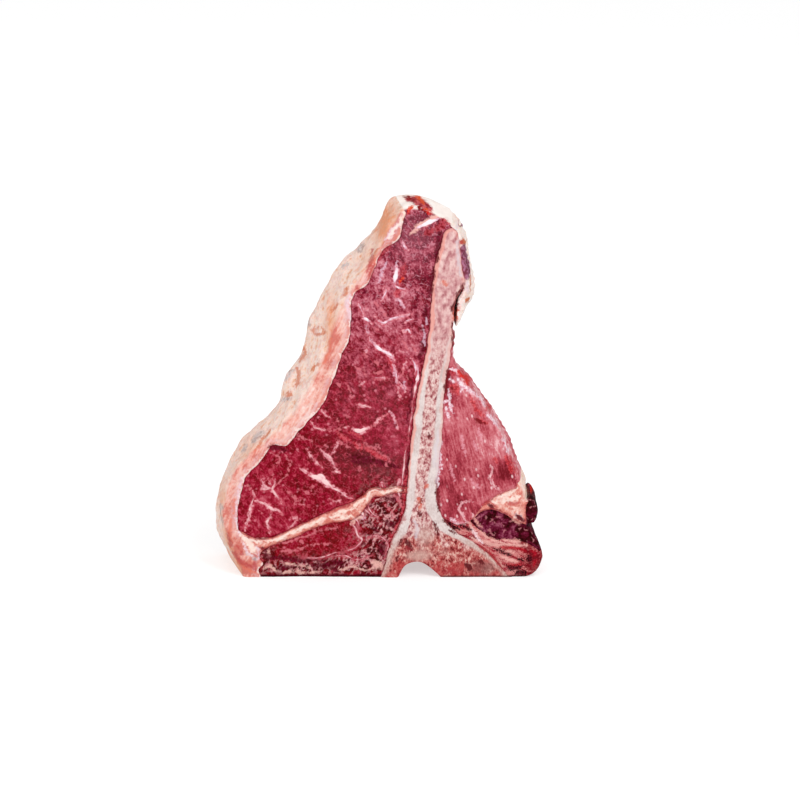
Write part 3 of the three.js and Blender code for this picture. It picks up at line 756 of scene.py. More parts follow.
PALE = [
    # tip and flap
    (1.8, [(403, 203), (409, 204), (413, 205)]),
    # strip loin, upper half
    (2.0, [(411, 233), (418, 227), (426, 222), (434, 218), (441, 214)]),
    (4.6, [(435, 205), (441, 211), (449, 215), (455, 224)]),
    # fat cap
    (1.2, [(404, 213), (401, 220), (396, 228), (388, 238)]),
    # seam
    (1.3, [(262, 540), (276, 540), (290, 533), (306, 526), (322, 519)]),
    (1.2, [(330, 517), (340, 513), (350, 510)]), (0.8, [(335, 519), (345, 518), (352, 516)]),
    (1.1, [(366, 500), (371, 491), (378, 489), (385, 494)]),
    (1.2, [(385, 494), (391, 489), (397, 488), (400, 493)]),
    (1.2, [(353, 508), (358, 503), (364, 498)]), (1.4, [(240, 536), (250, 540), (262, 541)]),
    # muscle below the seam
    (0.9, [(350, 524), (356, 519), (362, 517)]), (2.2, [(373, 562), (379, 565), (384, 568)]),
    (0.6, [(268, 550), (270, 553)]), (2.2, [(246, 540), (251, 546), (255, 552)]),
    (1.0, [(263, 568), (270, 566), (276, 571)]), (0.3, [(284, 564), (298, 565), (310, 568)]),
    (0.4, [(280, 573), (292, 571), (306, 573), (320, 571)]),
    (0.3, [(340, 569), (352, 567), (366, 570), (380, 566)]),
    # scraps right of the foot
    (1.3, [(498, 497), (508, 493), (518, 488)]), (1.5, [(503, 501), (512, 499), (520, 496)]),
    (0.9, [(492, 500), (497, 503)]),
]
RED = [
    # tip and flap
    (4.0, [(406, 198.5), (413, 200), (420, 203), (427, 207), (431, 210)]),
    (1.6, [(460, 244), (462, 240)]),
    # strip loin, upper half
    (2.0, [(440, 222), (446, 220), (450, 225)]), (1.8, [(405, 264), (403, 274), (402, 280)]),
    (1.6, [(392, 244), (384, 251), (379, 260)]),
    (2.6, [(424, 234), (432, 231), (440, 226), (447, 223)]),
    (1.6, [(394, 372), (391, 362), (388, 354)]), (1.6, [(400, 288), (396, 294), (399, 299)]),
    # strip loin, lower half
    (1.6, [(337, 432), (342, 437), (349, 440)]), (1.2, [(354, 442), (357, 449)]),
    (1.0, [(362, 444), (361, 450)]), (1.6, [(365, 446), (371, 451), (378, 456), (386, 459)]),
    (0.8, [(350, 433), (358, 436), (364, 440)]),
    # fat cap
    (1.6, [(228, 534), (229, 542), (231, 548)]), (1.2, [(254, 552), (255, 560), (256, 570)]),
    (1.3, [(375, 264), (371, 272), (368, 280)]), (1.2, [(373, 250), (371, 262), (366, 272)]),
    (1.2, [(357, 286), (358, 290)]), (1.0, [(240, 561), (250, 566), (256, 569)]),
    (0.8, [(236, 545), (240, 551), (242, 556)]), (1.0, [(262, 549), (258, 556), (262, 561)]),
    (1.6, [(232, 552), (238, 559), (246, 566)]),
    # seam
    (1.2, [(336, 511), (345, 506), (352, 501)]),
    # bone
    (1.2, [(407, 470), (406, 485), (405, 500), (402, 518), (394, 534), (389, 548)]),
    (1.8, [(442, 572), (452, 571), (462, 572)]), (1.4, [(406, 547), (411, 550)]),
    (1.4, [(402, 512), (404, 518), (400, 522)]),
    # tenderloin
    (1.6, [(450, 370), (454, 373)]), (2.0, [(452, 386), (456, 392)]),
    (1.6, [(458, 371), (463, 375), (468, 381)]), (1.2, [(471, 396), (476, 408), (483, 416)]),
    (1.6, [(482, 396), (487, 403), (490, 411)]), (1.0, [(497, 420), (501, 426)]),
    (0.7, [(508, 452), (512, 462), (518, 474)]), (1.2, [(454, 384), (458, 390), (459, 395)]),
    (0.6, [(494, 458), (497, 463)]), (0.9, [(510, 467), (512, 472)]),
    (0.3, [(505, 456), (509, 464), (512, 470)]), (1.2, [(477, 419), (481, 421), (486, 424)]),
    (1.0, [(452, 369), (460, 374), (468, 383), (474, 392)]),
    # scraps right of the foot
    (1.1, [(478, 545), (487, 552), (495, 560), (503, 570)]),
    (1.3, [(500, 548), (513, 548), (526, 550)]), (1.6, [(508, 566), (514, 566), (520, 565)]),
    (1.6, [(529, 480), (529.5, 486), (530, 493)]), (1.4, [(484, 505), (491, 502), (497, 508)]),
    (1.2, [(506, 500), (512, 504), (520, 503)]), (1.0, [(531, 550), (535, 553), (533, 556)]),
    (1.0, [(536, 560), (534, 566)]),
]
print("scars and stains:", len(DARK + RUST + GREY + PALE + RED))


# %% Distance to the strokes
def seen_at(xyz):
    """A point's place in the picture: its reach right and up from the eye's axis, over its
    distance, times the lens length in pixels."""
    ray = xyz - eye
    scale = LENS / SENSOR * PICTURE / -(ray @ back_ray)
    middle = PICTURE / 2
    return np.column_stack(
        [middle + scale * (ray @ right_ray), middle - scale * (ray @ up_ray)]
    )


def beside(places, strokes, reach):
    """Distance in pixels to the edge of the nearest stroke, negative inside it. A stroke
    has its full half width in the middle and a quarter of it at the ends."""
    out = np.full(len(places), reach)
    for half, marks in strokes:
        line = smooth_curve(marks, 0.5)
        t = np.linspace(0, 1, len(line))
        width = half * np.minimum(1, 0.25 + 4 * t * (1 - t))
        far = reach + half
        near = np.all((places > line.min(0) - far) & (places < line.max(0) + far), axis=1)
        if near.any():
            gap = np.linalg.norm(places[near][:, None] - line[None], axis=2) - width
            out[near] = np.minimum(out[near], gap.min(1))
    return out


def blots(places, spots):
    """Sum of soft spots (x, y, half width, half height, strength), each a Gaussian."""
    out = np.zeros(len(places))
    for x, y, wide, high, strength in spots:
        out += strength * np.exp(
            -(((places[:, 0] - x) / wide) ** 2) - ((places[:, 1] - y) / high) ** 2
        )
    return out


# %% Soft spots
CURLY = [  # where the meat is dried to dark curls
    (384, 512, 22, 24, 1.2), (378, 545, 20, 18, 1.1), (300, 567, 52, 8, 1.1),
    (362, 562, 26, 9, 1.0), (262, 552, 12, 8, 0.6),
]
WARM = [  # where the fat turns orange or rosy
    (331, 325, 7, 34, 0.8), (386, 222, 13, 26, 1.2), (366, 262, 12, 20, 0.4),
    (226, 545, 10, 26, 0.7), (248, 546, 11, 9, 0.1), (248, 568, 14, 8, 1.3),
    (238, 552, 5, 10, 0.8), (345, 345, 9, 34, 0.1), (229, 500, 8, 32, 0.25),
    (252, 458, 14, 24, 0.6), (222, 498, 4, 16, 0.5), (300, 410, 16, 14, 0.2),
    (455, 215, 10, 10, -0.6), (466, 290, 6, 10, 0.7), (492, 509, 9, 6, 0.35),
    (515, 510, 8, 9, 0.3),
]
MOIST_SHEEN = [  # painted reflection: where the wet meat mirrors a little of the white around it
    (375, 400, 44, 40, 1.0), (374, 463, 36, 18, 1.2), (396, 440, 16, 30, 0.8),
    (330, 455, 18, 14, 0.4), (414, 238, 24, 28, 3.4),
]
TONE = [  # lighter and darker regions of the cut face, in the picture; the dark ones just under the torn ledge are painted shade
    (425, 262, 15, 42, -0.45), (415, 232, 24, 18, -0.35), (395, 268, 16, 24, 0.05),
    (290, 490, 45, 40, -0.1), (372, 332, 12, 10, 0.3), (407, 358, 12, 9, 0.2),
    (482, 567, 15, 9, -1.1), (531, 507, 9, 22, -2.6), (527, 540, 9, 8, -1.4),
    (450, 572, 20, 4, -0.4), (365, 460, 22, 14, -0.8), (385, 475, 14, 12, -0.4),
    (385, 385, 26, 16, -0.1), (372, 405, 40, 34, 0.14), (262, 552, 13, 8, -0.7),
    (270, 505, 30, 26, 0.5), (392, 338, 34, 26, 0.16), (362, 464, 34, 16, -0.14),
    (372, 405, 44, 34, -0.26), (315, 500, 14, 12, -0.3), (330, 455, 20, 14, -0.35),
    (300, 440, 20, 12, -0.2), (390, 435, 16, 14, 0.3), (415, 222, 14, 8, -0.2),
    (440, 222, 10, 8, -0.3), (455, 395, 10, 20, -0.2), (470, 415, 24, 24, 0.25),
    (465, 482, 26, 22, -0.3), (500, 430, 12, 30, 0.55), (455, 500, 14, 16, -0.25),
    (506, 472, 9, 12, -1.1), (480, 385, 20, 10, 0.5), (460, 505, 16, 16, -0.4),
    (533, 562, 11, 14, -1.2), (448, 380, 6, 14, -0.8), (310, 535, 36, 10, 0.2),
    (380, 545, 16, 20, -0.5), (290, 566, 40, 7, -0.5),
]
print("soft spots:", len(CURLY + WARM + MOIST_SHEEN + TONE))


# %% Marks kept with each point
LAYERS = dict(
    vein=STRIP_VEINS, thread=STRIP_THREADS + BACK_THREADS + TENDER_THREADS + SINEWS,
    faint=FAINT, lilac=LILAC, dark=DARK, rust=RUST, grey=GREY, red=RED, pale=PALE,
)
SPOTS = dict(tone=TONE, warm=WARM, moist_sheen=MOIST_SHEEN, curly=CURLY)
FAR = 7.0  # pixels beyond which a stroke isn't felt
UNEVEN = 0.9  # pixels that the strokes wander
BACK_WARP, BACK_SHIFT = (14, 12), (9, -13)  # pixels, for the back cut face
print("strokes:", {name: len(strokes) for name, strokes in LAYERS.items()})


def marks_of(shape, node):
    """Each layer's distance, and each kind of spot, at every point. Small wanders make the
    strokes uneven, and on the back cut face larger ones warp and shift them. The bone's
    back has no strokes, since those that follow its front borders would cross it."""
    at = seen_at(shape["marked_at"])
    x, y = at.T
    at = at + UNEVEN * np.column_stack([wander(x, 0, y, 7), wander(x + 60, 0, y, 7)])
    bent = np.column_stack([wander(x, 9, y, 60), wander(x + 99, 9, y, 50)])
    at = at + shape["is_back"][:, None] * (BACK_WARP * bent + BACK_SHIFT)
    marks = {name: beside(at, strokes, FAR) for name, strokes in LAYERS.items()}
    if node == "t_bone":
        marks = {name: np.where(shape["is_back"], FAR, gap) for name, gap in marks.items()}
    marks |= {name: blots(at, spots) for name, spots in SPOTS.items()}
    marks["curly"] = np.clip(marks["curly"], 0, 1)
    return marks


def lay(name, node, shape, finish, slot, **more):
    """Turns a worked-out shape into a mesh piece that rides on the steak, in metres."""
    mesh = bpy.data.meshes.new(name)
    xyz = (shape["xyz"] + [*CENTRE, 0]) * MM
    quads = shape["quads"]
    mesh.vertices.add(len(xyz))
    mesh.vertices.foreach_set("co", xyz.astype(np.float32).ravel())
    mesh.loops.add(quads.size)
    mesh.loops.foreach_set("vertex_index", quads.astype(np.int32).ravel())
    mesh.polygons.add(len(quads))
    mesh.polygons.foreach_set("loop_start", np.arange(0, quads.size, 4, dtype=np.int32))
    mesh.update(calc_edges=True)
    mesh.polygons.foreach_set("use_smooth", np.ones(len(quads), bool))
    mesh.set_sharp_from_angle(angle=math.radians(60))
    values = {k: shape[k] for k in ("skin", "rim", "u", "v")} | marks_of(shape, node) | more
    for key, value in values.items():
        layer = mesh.attributes.new(key, "FLOAT", "POINT")
        layer.data.foreach_set("value", np.asarray(value, np.float32))
    mesh.materials.append(finish)
    piece = bpy.data.objects.new(name, mesh)
    bpy.context.scene.collection.objects.link(piece)
    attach(piece, "root")
    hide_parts(node)
    low, high = xyz.min(0), xyz.max(0)
    print(f"{name}: {2 * len(quads)} triangles, {np.round((high - low) / MM, 1)} mm")


# %% [markdown]
# ## Finishes
#
# A finish is a tree of nodes. The helper below keeps it readable: each call adds one node
# and gives back its output. Patterns read the object's own coordinates, turned to
# millimetres, so a pattern's scale is a size that can be measured on a real steak.
# Colours are given as they look in the picture, and are divided by the strength of the
# light that falls on the cut face, so that the lit finish comes out at that colour.

# %% A helper for finishes
LIT = 1.28  # light on the cut face, as a multiple of plain white surroundings
VEIL = 0.008  # the little light that the gloss adds everywhere


def shade(red, green, blue):
    """A colour as it looks in the picture, 0 to 255, as the linear value for a node."""
    c = np.array([red, green, blue]) / 255
    linear = np.where(c <= 0.04045, c / 12.92, ((c + 0.055) / 1.055) ** 2.4)
    return (*(np.maximum(linear - VEIL, 0.0008) / LIT).tolist(), 1.0)


class Finish:
    """A material in the making."""

    def __init__(self, name):
        self.material = bpy.data.materials.new(name)
        self.material.use_nodes = True
        self.tree = self.material.node_tree
        self.tree.nodes.clear()
        place = self.tree.nodes.new("ShaderNodeTexCoord").outputs["Object"]
        self.mm = self.stretch(place, (1 / MM, 1 / MM, 1 / MM))

    def add(self, kind, *inputs, **settings):
        """Adds a node, sets its options, and feeds its inputs in order; None skips one."""
        made = self.tree.nodes.new("ShaderNode" + kind)
        for key, value in settings.items():
            setattr(made, key, value)
        sockets = [s for s in made.inputs if s.enabled]
        for socket, value in zip(sockets, inputs):
            self.feed(socket, value)
        return made

    def feed(self, socket, value):
        """Links an output, or sets a plain value."""
        if isinstance(value, bpy.types.NodeSocket):
            self.tree.links.new(value, socket)
        elif value is not None:
            socket.default_value = value

    def stretch(self, place, scale, turn=0.0):
        """Scales a place, after turning it about the Y axis by `turn` degrees."""
        if turn:
            place = self.add("Mapping", place, None, (0, math.radians(turn), 0)).outputs[0]
        return self.add("Mapping", place, None, None, scale).outputs[0]

    def sums(self, kind, a, b=None, c=None):
        """One sum, such as MULTIPLY_ADD: a times b, plus c."""
        return self.add("Math", a, b, c, operation=kind).outputs[0]

    def plus(self, a, b):
        """a plus b."""
        return self.sums("ADD", a, b)

    def minus(self, a, b):
        """a less b."""
        return self.sums("SUBTRACT", a, b)

    def times(self, a, b):
        """a times b."""
        return self.sums("MULTIPLY", a, b)

    def level(self):
        """Height above the table, in mm."""
        return self.add("SeparateXYZ", self.mm).outputs[2]

    def noise(self, place, scale, detail=2.0, rough=0.5):
        """Cloudy noise from 0 to 1, with `scale` clouds to a unit of place."""
        return self.add("TexNoise", place, scale, detail, rough).outputs[0]

    def cells(self, place, scale):
        """Scattered cells: (distance from the cell's middle, a random value per cell)."""
        made = self.add("TexVoronoi", place, scale)
        return made.outputs["Distance"], self.times(made.outputs["Color"], 1.0)

    def value(self, name):
        """A number kept with each point of the mesh."""
        return self.add("Attribute", attribute_name=name).outputs["Fac"]

    def between(self, value, start, end, low=0.0, high=1.0):
        """Goes smoothly from low to high as the value goes from start to end."""
        made = self.add("MapRange", value, start, end, low, high, interpolation_type="SMOOTHSTEP")
        return made.outputs[0]

    def swing(self, pattern, by, start=0.3, end=0.7):
        """A pattern from 0 to 1, turned into a swing from -by to by."""
        return self.between(pattern, start, end, -by, by)

    def stir(self, value, pattern, by, start=0.3, end=0.7):
        """A value plus the swing of a pattern."""
        return self.plus(value, self.swing(pattern, by, start, end))

    def blend(self, share, first, second):
        """Mixes two colours by a share from 0 to 1."""
        made = self.tree.nodes.new("ShaderNodeMix")
        made.data_type = "RGBA"
        for number, value in ((0, share), (6, first), (7, second)):
            self.feed(made.inputs[number], value)
        return made.outputs[2]

    def mottle(self, pattern, start, end, first, second):
        """Two colours, mixed by a pattern as it goes from start to end."""
        return self.blend(self.between(pattern, start, end), first, second)

    def scale_colours(self, value, *stops):
        """A run of colours over a value, from stops of (place, red, green, blue)."""
        made = self.add("ValToRGB", value)
        ramp = made.color_ramp
        while len(ramp.elements) < len(stops):
            ramp.elements.new(1.0)
        for element, (at, *colour) in zip(ramp.elements, stops):
            element.position, element.color = at, shade(*colour)
        return made.outputs[0]

    def painted(self, colour, jitter, *coats):
        """Lays strokes over a colour, from (layer, colour, strength, reach): full where the
        stroke's distance plus the jitter is below zero, and gone `reach` pixels outside."""
        for layer, paint, full, reach in coats:
            d = self.plus(self.value(layer), jitter)
            colour = self.blend(self.between(d, reach, -0.6, 0, full), colour, paint)
        return colour

    def done(self, colour, rough, height, depth, gloss=0.5, glow=0.0):
        """Joins colour, roughness and a height map in mm to the surface shader."""
        bump = self.tree.nodes.new("ShaderNodeBump")
        bump.inputs["Strength"].default_value = 1.0
        bump.inputs["Distance"].default_value = depth * MM
        self.tree.links.new(height, bump.inputs["Height"])
        surface = self.tree.nodes.new("ShaderNodeBsdfPrincipled")
        self.tree.links.new(colour, surface.inputs["Base Color"])
        self.tree.links.new(rough, surface.inputs["Roughness"])
        self.tree.links.new(bump.outputs[0], surface.inputs["Normal"])
        surface.inputs["Specular IOR Level"].default_value = gloss
        if glow:
            surface.inputs["Subsurface Weight"].default_value = glow
            surface.inputs["Subsurface Radius"].default_value = (1.0, 0.45, 0.3)
            surface.inputs["Subsurface Scale"].default_value = 0.0025
        out = self.tree.nodes.new("ShaderNodeOutputMaterial")
        self.tree.links.new(surface.outputs[0], out.inputs["Surface"])
        print(f"finish {self.material.name}: {len(self.tree.nodes)} nodes")
        return self.material


# %% [markdown]
# ## Red meat
#
# A cut across a muscle shows the ends of its fibre bundles as small cells, about a
# millimetre wide, with pale edges where fat and sinew lie between them. Dry ageing makes
# the meat dark and a little purple. Noise drawn out through the thickness, as the fibres
# run, gives the bundles and the drift of tone, its contour lines give the pale curls, and
# scattered Voronoi cells give the pale dots.


# %% Finish for red meat
def short_fibres(f, place, scale, width, share):
    """Short curls: the contour line of one noise, kept where a second noise is high."""
    line = f.sums("ABSOLUTE", f.minus(f.noise(place, scale, 1), 0.5))
    kept = f.noise(place, scale * 1.4, 2)
    return f.times(f.between(line, width, width / 3), f.between(kept, share, share + 0.08))


def red_meat(name, low, high):
    """Bundles and blotches set the tone between five colours, `low` at the base and
    `high` at the tip. Then come curls, dots, a painted reflection where the cut is wet, marks
    that include painted shadows and painted highlights, a painted contact shadow along the
    base, and the dried outside."""
    f = Finish(name)
    along = f.stretch(f.mm, (1, 0.2, 1))
    slant = f.stretch(f.mm, (1, 0.2, 0.5), turn=34)
    drift = f.noise(f.mm, 0.09, 3, 0.55)
    blotch = f.noise(along, 0.3, 3, 0.55)
    fine = f.noise(along, 0.75, 2, 0.6)
    strand = f.noise(slant, 0.5, 3, 0.62)
    other = f.noise(slant, 0.4, 2, 0.6)
    web = f.noise(f.stretch(f.mm, (1, 0.2, 0.8), turn=25), 0.42, 2)
    web = f.sums("ABSOLUTE", f.minus(web, 0.5))
    curly = f.value("curly")
    tone = f.stir(f.value("tone"), drift, 0.3)
    for part, swing in ((blotch, 0.42), (fine, 0.1), (strand, 0.26)):
        tone = f.stir(tone, part, swing, 0.28, 0.72)
    z = f.level()
    streaky = f.times(f.swing(strand, 1), f.between(z, 84, 120, 0, 0.2))
    tone = f.plus(tone, streaky)
    tone = f.plus(tone, f.between(web, 0, 0.08, 0.14, -0.26))
    tone = f.sums("MULTIPLY_ADD", curly, -0.5, tone)
    share = f.between(tone, -1.6, 1.6)
    stops = (0.08, 0.32, 0.5, 0.7, 0.95)
    height_share = f.stir(z, drift, 14)
    height_share = f.plus(height_share, f.between(other, 0.32, 0.68, -26, 24))
    colour = f.blend(
        f.between(height_share, 84, 172),
        *(f.scale_colours(share, *((at, *c) for at, c in zip(stops, five))) for five in (low, high)),
    )
    pink = f.mottle(z, 110, 172, shade(198, 82, 98), shade(216, 146, 160))
    for place, scale, width, kept, full in (
        (along, 0.24, 0.03, 0.5, 0.55), (slant, 0.36, 0.04, 0.5, 0.45),
        (f.mm, 0.5, 0.05, 0.56, 0.4), (along, 0.75, 0.06, 0.52, 0.35),
    ):
        curls = short_fibres(f, place, scale, width, kept)
        colour = f.blend(f.times(curls, full), colour, pink)
    spot, random = f.cells(f.mm, 0.3)
    dots = f.times(f.between(spot, 0.34, 0.1), f.between(random, 0.58, 0.64, 0, 0.75))
    colour = f.blend(dots, colour, shade(216, 124, 138))
    black = f.times(curly, f.between(blotch, 0.56, 0.4, 0, 0.7))
    colour = f.blend(black, colour, shade(62, 0, 14))
    tangle = short_fibres(f, f.stretch(f.mm, (1, 0.4, 0.7), turn=-30), 0.27, 0.11, 0.4)
    curl = f.mottle(fine, 0.32, 0.66, shade(160, 66, 84), shade(232, 176, 174))
    colour = f.blend(f.times(f.times(tangle, curly), 0.8), colour, curl)
    # painted reflection: a little pale bluish pink where the wet cut mirrors the white around it
    colour = f.blend(f.times(f.value("moist_sheen"), 0.05), colour, shade(200, 134, 152))

    jitter = f.swing(f.noise(f.mm, 0.6, 3, 0.6), 1.2)
    # paint for the dark strokes: dark scars, and painted shadow under the torn ledge and along the
    # base
    dull = f.mottle(fine, 0.4, 0.6, shade(76, 0, 20), shade(108, 26, 46))
    ember = f.blend(
        f.between(z, 150, 180), f.mottle(fine, 0.36, 0.6, shade(170, 18, 40), shade(214, 92, 102)),
        f.mottle(fine, 0.36, 0.6, shade(128, 8, 28), shade(186, 70, 80)),
    )
    # lilac strokes here are painted highlights of the wet cut, and dark strokes include painted
    # shadow
    colour = f.painted(
        colour, jitter,
        ("dark", dull, 0.8, 1.6), ("faint", shade(206, 110, 120), 0.85, 1.1),
        ("vein", shade(204, 92, 106), 0.75, 2.4), ("thread", shade(196, 92, 104), 0.6, 2.2),
        ("red", ember, 0.75, 2.0),
        ("lilac", shade(222, 182, 200), 0.7, 1.4), ("vein", shade(230, 164, 172), 0.85, 0.9),
        ("rust", f.mottle(fine, 0.4, 0.6, shade(196, 24, 28), shade(224, 84, 56)), 0.85, 1.4),
        ("pale", shade(232, 178, 168), 0.85, 1.8),
    )
    colour = f.blend(f.between(f.value("rim"), 0.9, 0.1, 0, 0.5), colour, shade(118, 18, 34))
    # painted contact shadow along the base, where the meat meets the table
    colour = f.blend(f.between(z, 1.8, 0.4, 0, 0.75), colour, shade(44, 2, 12))
    dried = f.mottle(drift, 0.35, 0.65, shade(253, 232, 222), shade(255, 249, 244))
    scab = f.mottle(fine, 0.38, 0.62, shade(150, 34, 48), shade(206, 96, 100))
    dried = f.painted(
        dried, jitter, ("red", scab, 1.0, 2.0), ("pale", shade(254, 241, 234), 0.9, 1.4),
        ("rust", shade(222, 82, 44), 1.0, 1.6), ("dark", shade(134, 4, 20), 1.0, 1.4),
    )
    colour = f.blend(f.value("skin"), colour, dried)

    height = f.plus(blotch, f.times(f.plus(fine, strand), 0.5))
    height = f.sums("MULTIPLY_ADD", f.times(tangle, curly), 0.5, height)
    return f.done(colour, f.between(fine, 0.3, 0.7, 0.34, 0.5), height, 0.55, gloss=0.04)


WINE = (96, 0, 24), (121, 0, 31), (142, 15, 43), (162, 43, 63), (198, 100, 114)
ROSE = (100, 10, 38), (140, 42, 60), (172, 82, 97), (196, 112, 125), (226, 166, 174)
DEEP = (92, 0, 18), (119, 0, 27), (140, 4, 36), (152, 28, 50), (178, 74, 90)
strip_meat = red_meat("strip_meat", low=WINE, high=ROSE)
back_meat = red_meat("back_meat", low=DEEP, high=DEEP)

# %% [markdown]
# The larger veins are pieces of their own, so that their edges are crisp and they stand a
# little proud, as firm fat does on soft meat. A vein is a flat lens, wide in the plane of
# the cut face, carried along the vein's path and thinned to a point at both ends.


# %% Veins as flat lenses along their paths
def inside(path, loop):
    """Even and odd rule: a point is inside if a ray from it crosses the loop an odd number
    of times."""
    (x, z), (a, b) = path.T, (loop, np.roll(loop, -1, axis=0))
    spans = (a[:, 1] > z[:, None]) != (b[:, 1] > z[:, None])
    rise = b[:, 1] - a[:, 1] + 1e-12
    crossing = a[:, 0] + (z[:, None] - a[:, 1]) * (b[:, 0] - a[:, 0]) / rise
    return (spans & (crossing > x[:, None])).sum(1) % 2 == 1


VEIN_WIDE = 0.6  # mm of half width to a pixel of a stroke's
VEIN_DEEP, VEIN_SUNK = 0.22, 0.02  # most half thickness, and how far the middle lies in


def veins(name, node, shape, strokes, finish, side=-1, around=8):
    """A ring of `around` points at each place of a path: the place, plus the in-plane
    normal times the half width times a cosine, plus the depth times a sine. On the back
    the paths are shifted and bent, and those that would leave the tissue are left out."""
    points, faces, widths, start = [], [], [], 0
    for half, marks in strokes:
        path = smooth_curve(on_face(marks), 0.45)
        x, z = path.T
        path = path + 0.2 * np.column_stack([wander(x, 5, z, 5), wander(z, 5, x, 5)])
        if side > 0:
            x, z = path.T
            bent = np.column_stack([6 * wander(x, 0, z, 30), 5 * wander(z, 0, x, 26)])
            path = path + [7, 6] + bent
            if not inside(path, shape["loop"]).all():
                continue
            path = lean(path, HALF)
        x, z = path.T
        t = np.linspace(0, 1, len(path))
        width = VEIN_WIDE * half * np.minimum(1, 3.6 * t * (1 - t) + 0.06)
        width = width * (1 + 0.5 * wander(x, 3, z, 3)) + 0.02
        deep = np.minimum(VEIN_DEEP, 0.6 * width)
        normal = normals_of(path)
        proud = HALF + face_height(node, x, z, side) - VEIN_SUNK
        middle = np.column_stack([x, side * proud, z])
        turn = np.linspace(0, 2 * np.pi, around, endpoint=False)
        flat = np.column_stack([normal[:, 0], np.zeros(len(t)), normal[:, 1]])
        ring = middle[:, None] + (width[:, None] * np.cos(turn))[..., None] * flat[:, None]
        ring[..., 1] += deep[:, None] * np.sin(turn)
        points.append(ring.reshape(-1, 3))
        widths.append(np.repeat(width, around))
        base = start + np.arange(len(t) * around).reshape(len(t), around)
        a, b = base[:-1], base[1:]
        quads = np.stack([a, b, np.roll(b, -1, 1), np.roll(a, -1, 1)], -1).reshape(-1, 4)
        faces += quads.tolist() + [base[0].tolist(), base[-1, ::-1].tolist()]
        start += len(path) * around
    mesh = bpy.data.meshes.new(name)
    xyz = (np.vstack(points) + [*CENTRE, 0]) * MM
    mesh.from_pydata(xyz.tolist(), [], faces)
    mesh.polygons.foreach_set("use_smooth", np.ones(len(faces), bool))
    layer = mesh.attributes.new("width", "FLOAT", "POINT")
    layer.data.foreach_set("value", np.concatenate(widths).astype(np.float32))
    mesh.materials.append(finish)
    piece = bpy.data.objects.new(name, mesh)
    bpy.context.scene.collection.objects.link(piece)
    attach(piece, "root")
    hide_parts(node)
    print(f"{name}: {len(strokes)} veins, {len(faces)} faces")


def vein_fat(name):
    """Pale where the vein is wide, rosy where it is thin, and bluish in the upper part."""
    f = Finish(name)
    drift = f.noise(f.mm, 0.5, 3, 0.6)
    wide = f.stir(f.value("width"), drift, 0.3)
    colour = f.scale_colours(
        wide, (0.05, 192, 84, 98), (0.3, 218, 140, 150), (0.6, 234, 176, 180),
        (0.95, 246, 204, 204),
    )
    cool = f.scale_colours(
        wide, (0.05, 190, 96, 118), (0.3, 220, 160, 178), (0.6, 238, 202, 216),
        (0.95, 250, 232, 238),
    )
    z = f.level()
    colour = f.blend(f.between(z, 104, 122), colour, cool)
    return f.done(colour, f.between(drift, 0.3, 0.7, 0.35, 0.5), drift, 0.4, gloss=0.35)


vein_finish = vein_fat("vein_fat")

# %% Lay the strip loin
TIP_END = place_on_outline(30.6, 199.3)
tip_top = on_outside(LEAVES["fat_strip"][1], TIP_END)
strip_right = joined(
    run["bone_left_upper"][::-1], straight(run["bone_left_upper"][0], tip_top[-1], 8)
)
strip = slab(
    "strip_loin", run["fat_strip"][::-1], strip_right, run["seam_top"], tip_top,
    across=132, up=290, deep=16,
)
lay("strip_loin_meat", "strip_loin", strip, strip_meat, "strip_meat")
strip_lines = STRIP_VEINS + STRIP_THREADS
veins("strip_veins", "strip_loin", strip, strip_lines, vein_finish)
veins("strip_veins_behind", "strip_loin", strip, STRIP_VEINS, vein_finish, side=1)

# %% Lay the muscle below the seam
SEAM_ROOT = [-67.2, 15.5]  # left of and below this the border belongs to the fat cap
low_border = run["seam_bottom"]
root_at = int(np.argmax(np.all(low_border[:, :2] < SEAM_ROOT, axis=1)))
back_left, back_top = low_border[root_at:][::-1], low_border[: root_at + 1][::-1]
back_base = straight(back_left[0], run["bone_left_foot"][-1])
back = slab(
    "back_muscle", back_left, run["bone_left_foot"][::-1], back_base, back_top,
    across=150, up=90, deep=8,
)
lay("back_muscle_meat", "back_muscle", back, back_meat, "back_meat")
veins("back_veins", "back_muscle", back, BACK_THREADS, vein_finish)

# %% [markdown]
# ## The tenderloin
#
# The small tender muscle right of the bone. The saw met its fibres at a slant, so they
# show as fine strokes that run down to the right, with little marbling and a pale bloom
# along the outside. Noise that is stretched along one slanted direction gives such strokes.


